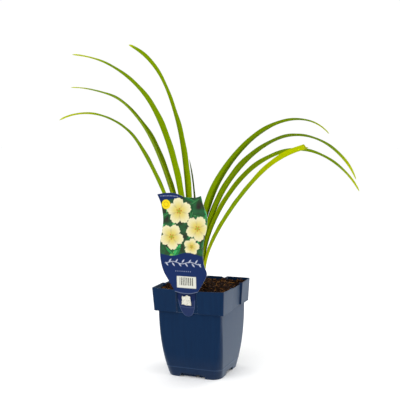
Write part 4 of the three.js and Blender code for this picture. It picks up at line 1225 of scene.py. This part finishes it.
# %% Foliage and flowers
# Each flower's middle, radius and turn.
BLOSSOMS = (((-9, 246), 19.0, 0.4), ((18.5, 222), 18.0, 1.1), ((-21.5, 209), 18.5, 2.3),
            ((9, 196), 12.0, 0.1))
SPRIGS, SPRIG_LOW, SPRIG_HIGH = 46, (-44, 182), (34, 272)


def flower_bed(x, z):
    """Blotches of brown and green from noise, then leaves at random, each with one half in shade and a
    pale rib, then the flowers."""
    leafy = 0.5 + 0.5 * value_noise(x, z, 7.0, 41)
    shadow = 0.5 + 0.5 * value_noise(x, z, 4.0, 42)
    picture = mix(tone("#1c1512")[0], tone("#186a3a")[0], leafy[..., None])
    picture = mix(picture, tone("#2b1a1c")[0], 0.6 * shadow[..., None])
    random = np.random.default_rng(43)
    greens = tone("#147a3c", "#249650", "#0c5a2c", "#4cae64", "#206434", "#6ea84a")
    for _ in range(SPRIGS):
        centre = random.uniform(SPRIG_LOW, SPRIG_HIGH)
        length, turn = random.uniform(5, 12), random.uniform(0, 3.1)
        cover, across = leaf_motif(x, z, centre, length, turn)
        green = greens[random.integers(len(greens))] * np.where(across > 0, 1.0, 0.55)[..., None]
        green = mix(green, tone("#86b878")[0], 0.5 * smooth(0.08, 0.02, np.abs(across))[..., None])
        picture = lay(picture, green, cover * 0.95)
    for centre, radius, turn in BLOSSOMS:
        picture = blossom(picture, x, z, centre, radius, turn)
    return picture


print("flowers and leaves on the card:", len(BLOSSOMS), "and", SPRIGS)

# %% Navy ends
DISC_X, DISC_Z, DISC_RADIUS, DISC_LINE = -29, 255, 6.8, 3.4
DOT_STEP = 2.2


def navy_ends(picture, x, z):
    """The foot below a wave, and the upper left corner above a curve, are navy. On the corner lie a row
    of dots and a yellow disc with a ring in it."""
    navy = tone("#041f4e")[0]
    wave = 184 - 3.2 * np.sin((x + 41) / 66 * 2.2 * np.pi) * np.exp(-((x + 2) / 40) ** 2)
    picture = lay(picture, navy, smooth(0.3, -0.3, z - wave))
    corner_edge = 256.5 + 0.32 * (x + 43) - 0.0022 * (x + 43) ** 2
    picture = lay(picture, navy, smooth(-0.3, 0.3, z - corner_edge) * smooth(-2, -3, x))
    dots = np.hypot((x + DOT_STEP / 2) % DOT_STEP - DOT_STEP / 2, z - 267.3 + 0.004 * (x + 24) ** 2)
    picture = lay(picture, tone("#9aa2bc")[0], smooth(0.75, 0.35, dots) * (x > -38) * (x < -10))
    from_disc = np.hypot(x - DISC_X, z - DISC_Z)
    picture = lay(picture, tone("#d8be04")[0], smooth(0.3, -0.3, from_disc - DISC_RADIUS))
    return lay(picture, tone("#85740c")[0], smooth(0.5, 0.1, np.abs(from_disc - DISC_LINE)))


print("disc, mm across:", 2 * DISC_RADIUS)

# %% Garland and panel
STEM_HEIGHT, STEM_LEFT, STEM_RIGHT = 172.2, -33, 22.5
BEAD_HEIGHT, BEAD_STEP = 160.0, 3.2
PANEL_HEIGHT, PANEL_HALF_WIDE, PANEL_HALF_TALL = 144.5, 14.8, 8.3
BAR_STEP, BARS_X, BARS_Z, BARS_HALF_WIDE, BARS_HALF_TALL = 2.9, -0.3, 145.6, 10.4, 5.7


def garland(picture, x, z):
    """Leaves by turns above and below a waving stem, and a row of beads under it."""
    pale = tone("#a4a9b8")[0]
    stem = STEM_HEIGHT + 1.4 * np.sin(x / 4.2)
    inside = (x > STEM_LEFT) * (x < STEM_RIGHT)
    picture = lay(picture, pale, smooth(0.62, 0.3, np.abs(z - stem)) * inside)
    for k, middle in enumerate(np.arange(-30, 22, 5.1)):
        side = 1 if k % 2 else -1
        cover, _ = leaf_motif(x, z, (middle, STEM_HEIGHT + 2.6 * side), 3.4, 0.9 * side)
        picture = lay(picture, pale, cover)
    beads = np.hypot((x + BEAD_STEP / 2) % BEAD_STEP - BEAD_STEP / 2, z - BEAD_HEIGHT)
    return lay(picture, tone("#8088a4")[0], smooth(0.85, 0.5, beads) * (x > -17) * (x < 8))


def barred_panel(picture, x, z):
    """A white panel with plain, evenly spaced bars."""
    panel = smooth(-0.25, 0.25, PANEL_HALF_WIDE - np.abs(x))
    panel = panel * smooth(-0.25, 0.25, PANEL_HALF_TALL - np.abs(z - PANEL_HEIGHT))
    picture = lay(picture, tone("#c6c6bb")[0], panel)
    bars = smooth(-0.1, 0.3, np.sin(2 * np.pi * x / BAR_STEP))
    bars = bars * (np.abs(x - BARS_X) < BARS_HALF_WIDE) * (np.abs(z - BARS_Z) < BARS_HALF_TALL)
    return lay(picture, tone("#23231c")[0], bars)


print("panel, mm wide and tall:", 2 * PANEL_HALF_WIDE, "and", 2 * PANEL_HALF_TALL)


# %% The whole print
def card_picture(x, z):
    """One linear colour for each place on the card, each motif laid over the one before. The foot of the
    card gets a pale grey-blue rim just above its cut."""
    picture = barred_panel(garland(navy_ends(flower_bed(x, z), x, z), x, z), x, z)
    low, high = TAG_BOTTOM[0][0], TAG_BOTTOM[-1][0]
    foot = through(np.array(TAG_BOTTOM)[:, 1], np.clip((x - low) / (high - low), 0, 1))
    return lay(picture, tone("#5f6a80")[0], 0.8 * smooth(1.3, 0.6, z - foot))


def set_print(mesh, colours):
    """Stores one linear colour for each point, which the sheet's material reads as its ink."""
    rgba = np.ones((len(mesh.vertices), 4))
    rgba[:, :3] = np.reshape(colours, (-1, 3))
    mesh.attributes.new("print", "FLOAT_COLOR", "POINT").data.foreach_set("color", rgba.ravel())


printed_picture = card_picture(card_points[..., 0], card_points[..., 1])
print("mean linear colour of the print:", printed_picture.mean((0, 1)).round(3))


# %% The card
def card_body():
    """A closed sheet: the front grid, and the same grid 0.8 mm behind it. The whole card bows forward
    by up to 0.9 mm from foot to top and 0.5 mm between its sides, as a thin card does. Its back is
    white, with rows of grey dashes."""
    x, z = card_points[..., 0], card_points[..., 1]
    curl = 0.9 * smooth(150, 275, z) + 0.5 * (1 - ((x + 5) / 38) ** 2) * smooth(130, 170, z)
    front = np.stack([x, CARD_FRONT - curl, z], -1)
    back = front + [0, CARD_THICK, 0]
    count = CARD_ROWS * CARD_COLUMNS
    number = np.arange(count).reshape(CARD_ROWS, CARD_COLUMNS)
    edge = np.concatenate([number[0], number[1:, -1], number[-1, -2::-1], number[-2:0:-1, 0]])
    rim = np.stack([edge, np.roll(edge, -1), np.roll(edge, -1) + count, edge + count], -1)
    faces = grid_faces(CARD_ROWS, CARD_COLUMNS)
    mesh = new_mesh("tag_card", np.concatenate([front, back]), faces, faces[:, ::-1] + count, rim[:, ::-1])
    mesh.set_sharp_from_angle(angle=SHARP)
    dashes = (np.abs((z % 5) - 2.5) < 0.6) * (np.abs(x + 5) < 22) * (z > 150) * (z < 250)
    plain = lay(tone("#c9cac6")[0], tone("#757a8c")[0], 0.8 * dashes)
    set_print(mesh, [printed_picture, plain])
    return mesh


def printed_polypropylene():
    """Extruded polypropylene sheet under offset ink: strong flat colours behind an even, soft gloss that
    the sheet's fine grain keeps from being a mirror."""
    material, tree = new_material("printed_polypropylene_sheet")
    ink = add(tree, "Attribute", attribute_name="print")
    place = add(tree, "TexCoord").outputs["Object"]
    grain = add(tree, "TexNoise", {"Vector": place, "Scale": 1200.0, "Detail": 2.0})
    relief = add(tree, "Bump", {"Height": grain.outputs["Fac"], "Distance": 0.00002, "Strength": 0.3})
    shader = add(tree, "BsdfPrincipled", {"Base Color": ink.outputs["Color"], "Roughness": 0.36,
                                          "Normal": relief.outputs[0], "IOR": 1.49,
                                          "Specular IOR Level": 0.12})
    add(tree, "OutputMaterial", {"Surface": shader.outputs[0]})
    return material


printed_sheet = printed_polypropylene()
add_piece("tag_card", card_body(), printed_sheet, "printed_tag", "label")

# %% [markdown]
# ## The tag's tongue and hook
# Below the card the same sheet is narrower. One layer hangs down outside the pot as a tongue with a
# round end, creased where the tag is folded in the box, and another bends over the lip and goes down
# inside as a spike. A cloth simulation could bend them, but stiff sheet keeps to one plain curve. So
# both are ruled sheets between two edge curves, and a Solidify modifier gives them their thickness.

# %% Tongue
TONGUE_LEFT = [(-0.9, 93.3), (-5.3, 94.7), (-9, 97.9), (-11.8, 102.5), (-13.8, 107.4), (-15.3, 112.9),
               (-16.4, 118.5), (-16.6, 125.5), (-16.6, 132)]
TONGUE_RIGHT = [(-0.9, 93.3), (3.7, 95.1), (7.1, 98.5), (8.9, 104.2), (9.7, 109.3), (10.3, 114.9),
                (10.8, 119.9), (11.3, 126), (11.4, 132)]
TONGUE_ROWS, TONGUE_COLUMNS, TONGUE_GAP, SHEET_THICK = 90, 44, 0.25, 0.7
CREASE_HEIGHT, CREASE_OUT, INK_FOOT = 106.5, 0.25, 116.2


def recess_lean(z):
    """Distance from the axis of the recess's plane, carried on below the band in a straight line."""
    return RECESS_FOOT + (RECESS_RIM - RECESS_FOOT) * (z - BAND_BOTTOM) / (POT_HEIGHT - BAND_BOTTOM)


def tongue():
    """Rows from the round end to the top, each a straight line from the left edge to the right one. It
    leans with the recess, stands 0.25 mm further out below the crease, and bows out 0.1 mm. Above it is
    printed navy, and below clear, with pale cut edges and a pale crease."""
    left, right = (even_points(edge, TONGUE_ROWS)[:, None] for edge in (TONGUE_LEFT, TONGUE_RIGHT))
    u = np.linspace(0, 1, TONGUE_COLUMNS)[:, None]
    x, z = np.moveaxis(mix(left, right, u), -1, 0)
    bow = 0.4 * u[:, 0] * (1 - u[:, 0])
    y = -recess_lean(z) - TONGUE_GAP - bow - CREASE_OUT * smooth(109, 106, z)
    faces = grid_faces(TONGUE_ROWS, TONGUE_COLUMNS)[:, ::-1]
    mesh = new_mesh("tag_tongue", np.stack([x, y, z], -1), faces, closed=False)
    clear, ink, pale = tone("#17274d", "#021844", "#5d6d8c")
    colour = mix(clear, ink, smooth(INK_FOOT, INK_FOOT + 1, z)[..., None])
    crease = smooth(0.6, 0.2, np.abs(z - CREASE_HEIGHT - 0.009 * (x + 1) ** 2))
    cut_edge = smooth(1.1, 0.5, np.minimum(x - left[..., 0], right[..., 0] - x))
    set_print(mesh, lay(colour, pale, 0.38 * np.maximum(0.7 * crease, cut_edge * smooth(120, 116, z))))
    return mesh


thicken(add_piece("tag_tongue", tongue(), printed_sheet, "printed_tag", "label"), SHEET_THICK, 1)

# %% Hook and spike
HOOK_PATH = [(-56.2, 130.2), (-55.6, 131.9), (-54, 132.4), (-51, 132.4), (-48.9, 132.3), (-47.6, 131.4),
             (-47.4, 129), (-47.4, 120), (-47.4, 110), (-47.4, 98.5)]
HOOK_HALF, HOOK_ROWS, HOOK_COLUMNS = 10, 90, 18
SPIKE_TAPER, SPIKE_END = 16, 0.15  # the spike narrows over this length, mm, to this share of its width


def hook():
    """A strip 20 mm wide carried along a path: from under the card over the lip and straight down
    inside the pot, where its width narrows to 3 mm over the last 16 mm."""
    path = even_points(HOOK_PATH, HOOK_ROWS)
    above_end = np.clip((path[:, 1] - HOOK_PATH[-1][1]) / SPIKE_TAPER, 0, 1)
    half = HOOK_HALF * mix(SPIKE_END, 1, above_end ** 0.6)
    x = half[:, None] * np.linspace(-1, 1, HOOK_COLUMNS)
    grid = np.stack(np.broadcast_arrays(x, path[:, :1], path[:, 1:]), -1)
    mesh = new_mesh("tag_hook", grid, grid_faces(HOOK_ROWS, HOOK_COLUMNS), closed=False)
    set_print(mesh, np.broadcast_to(tone("#021844"), (x.size, 3)))
    return mesh


thicken(add_piece("tag_hook", hook(), printed_sheet, "printed_tag", "label"), SHEET_THICK, 0)

# %% [markdown]
# ## The paper sticker
# A scrap of white price paper is left on the tongue, its edges torn and its face smudged. A flat plane
# would look like a decal, so the sheet is a small Coons patch whose edge is roughened by noise and whose
# face is wrinkled.

# %% Sticker
STICKER_BOTTOM = [(-10.2, 110.8), (-6.4, 110.7), (-2.4, 109.9), (4.9, 109.7)]
STICKER_TOP = [(-9.3, 123.7), (-6.4, 122.6), (-1.6, 124.4), (3.4, 123)]
STICKER_LEFT = [(-10.2, 110.8), (-9.3, 117.3), (-9.3, 123.7)]
STICKER_RIGHT = [(4.9, 109.7), (4.1, 116.1), (3.4, 123)]
STICKER_OUT, STICKER_POINTS, PAPER_THICK = 1.5, 60, 0.25
TEAR, WRINKLE, SMALL_WRINKLE = 0.35, 0.14, 0.06


def sticker_sheet():
    """The patch, with its points moved by up to about 0.5 mm of noise in its plane, most at the edge,
    and by wrinkles of up to 0.2 mm out of it."""
    flat = coons_patch(STICKER_BOTTOM, STICKER_TOP, STICKER_LEFT, STICKER_RIGHT,
                       STICKER_POINTS, STICKER_POINTS)
    u, v = np.meshgrid(*[np.linspace(-1, 1, STICKER_POINTS)] * 2)
    near_edge = np.maximum(np.abs(u), np.abs(v)) ** 6
    x, z = flat[..., 0], flat[..., 1]

    def torn(seed):
        """Noise with teeth of 1.1 and 0.45 mm, which grows towards the edge."""
        return TEAR * near_edge * (value_noise(x, z, 1.1, seed) + 0.6 * value_noise(x, z, 0.45, seed + 1))

    wrinkle = WRINKLE * value_noise(x + 0.5 * z, z, 3.0, 55) + SMALL_WRINKLE * value_noise(x, z, 1.2, 56)
    grid = np.stack([x + torn(51), wrinkle - recess_lean(z) - STICKER_OUT, z + torn(53)], -1)
    faces = grid_faces(STICKER_POINTS, STICKER_POINTS)[:, ::-1]
    return new_mesh("price_sticker_paper", grid, faces, closed=False)


def coated_paper():
    """Coated label paper, torn by hand: off-white and matt, with grey smudges where the coating is worn
    and short fibres in its face."""
    material, tree = new_material("torn_coated_paper")
    place = add(tree, "TexCoord").outputs["Object"]
    smudge = add(tree, "TexNoise", {"Vector": place, "Scale": 380.0, "Detail": 3.0, "Distortion": 1.2})
    worn = add(tree, "MapRange", {"Value": smudge.outputs["Fac"], "From Min": 0.48, "From Max": 0.64,
                                  "To Max": 0.8})
    colour = add(tree, "Mix", {SHARE: worn.outputs[0], FIRST: paint("#c6c5b8"),
                               SECOND: paint("#8d8c80")}, data_type="RGBA")
    fibres = add(tree, "TexNoise", {"Vector": place, "Scale": 2500.0, "Detail": 2.0})
    relief = add(tree, "Bump", {"Height": fibres.outputs["Fac"], "Distance": 0.00005, "Strength": 0.5})
    shader = add(tree, "BsdfPrincipled", {"Base Color": colour.outputs[MIXED], "Roughness": 0.8,
                                          "Normal": relief.outputs[0]})
    add(tree, "OutputMaterial", {"Surface": shader.outputs[0]})
    return material


sticker = add_piece("price_sticker_paper", sticker_sheet(), coated_paper(), "sticker_paper",
                    "price_sticker")
thicken(sticker, PAPER_THICK, 0)
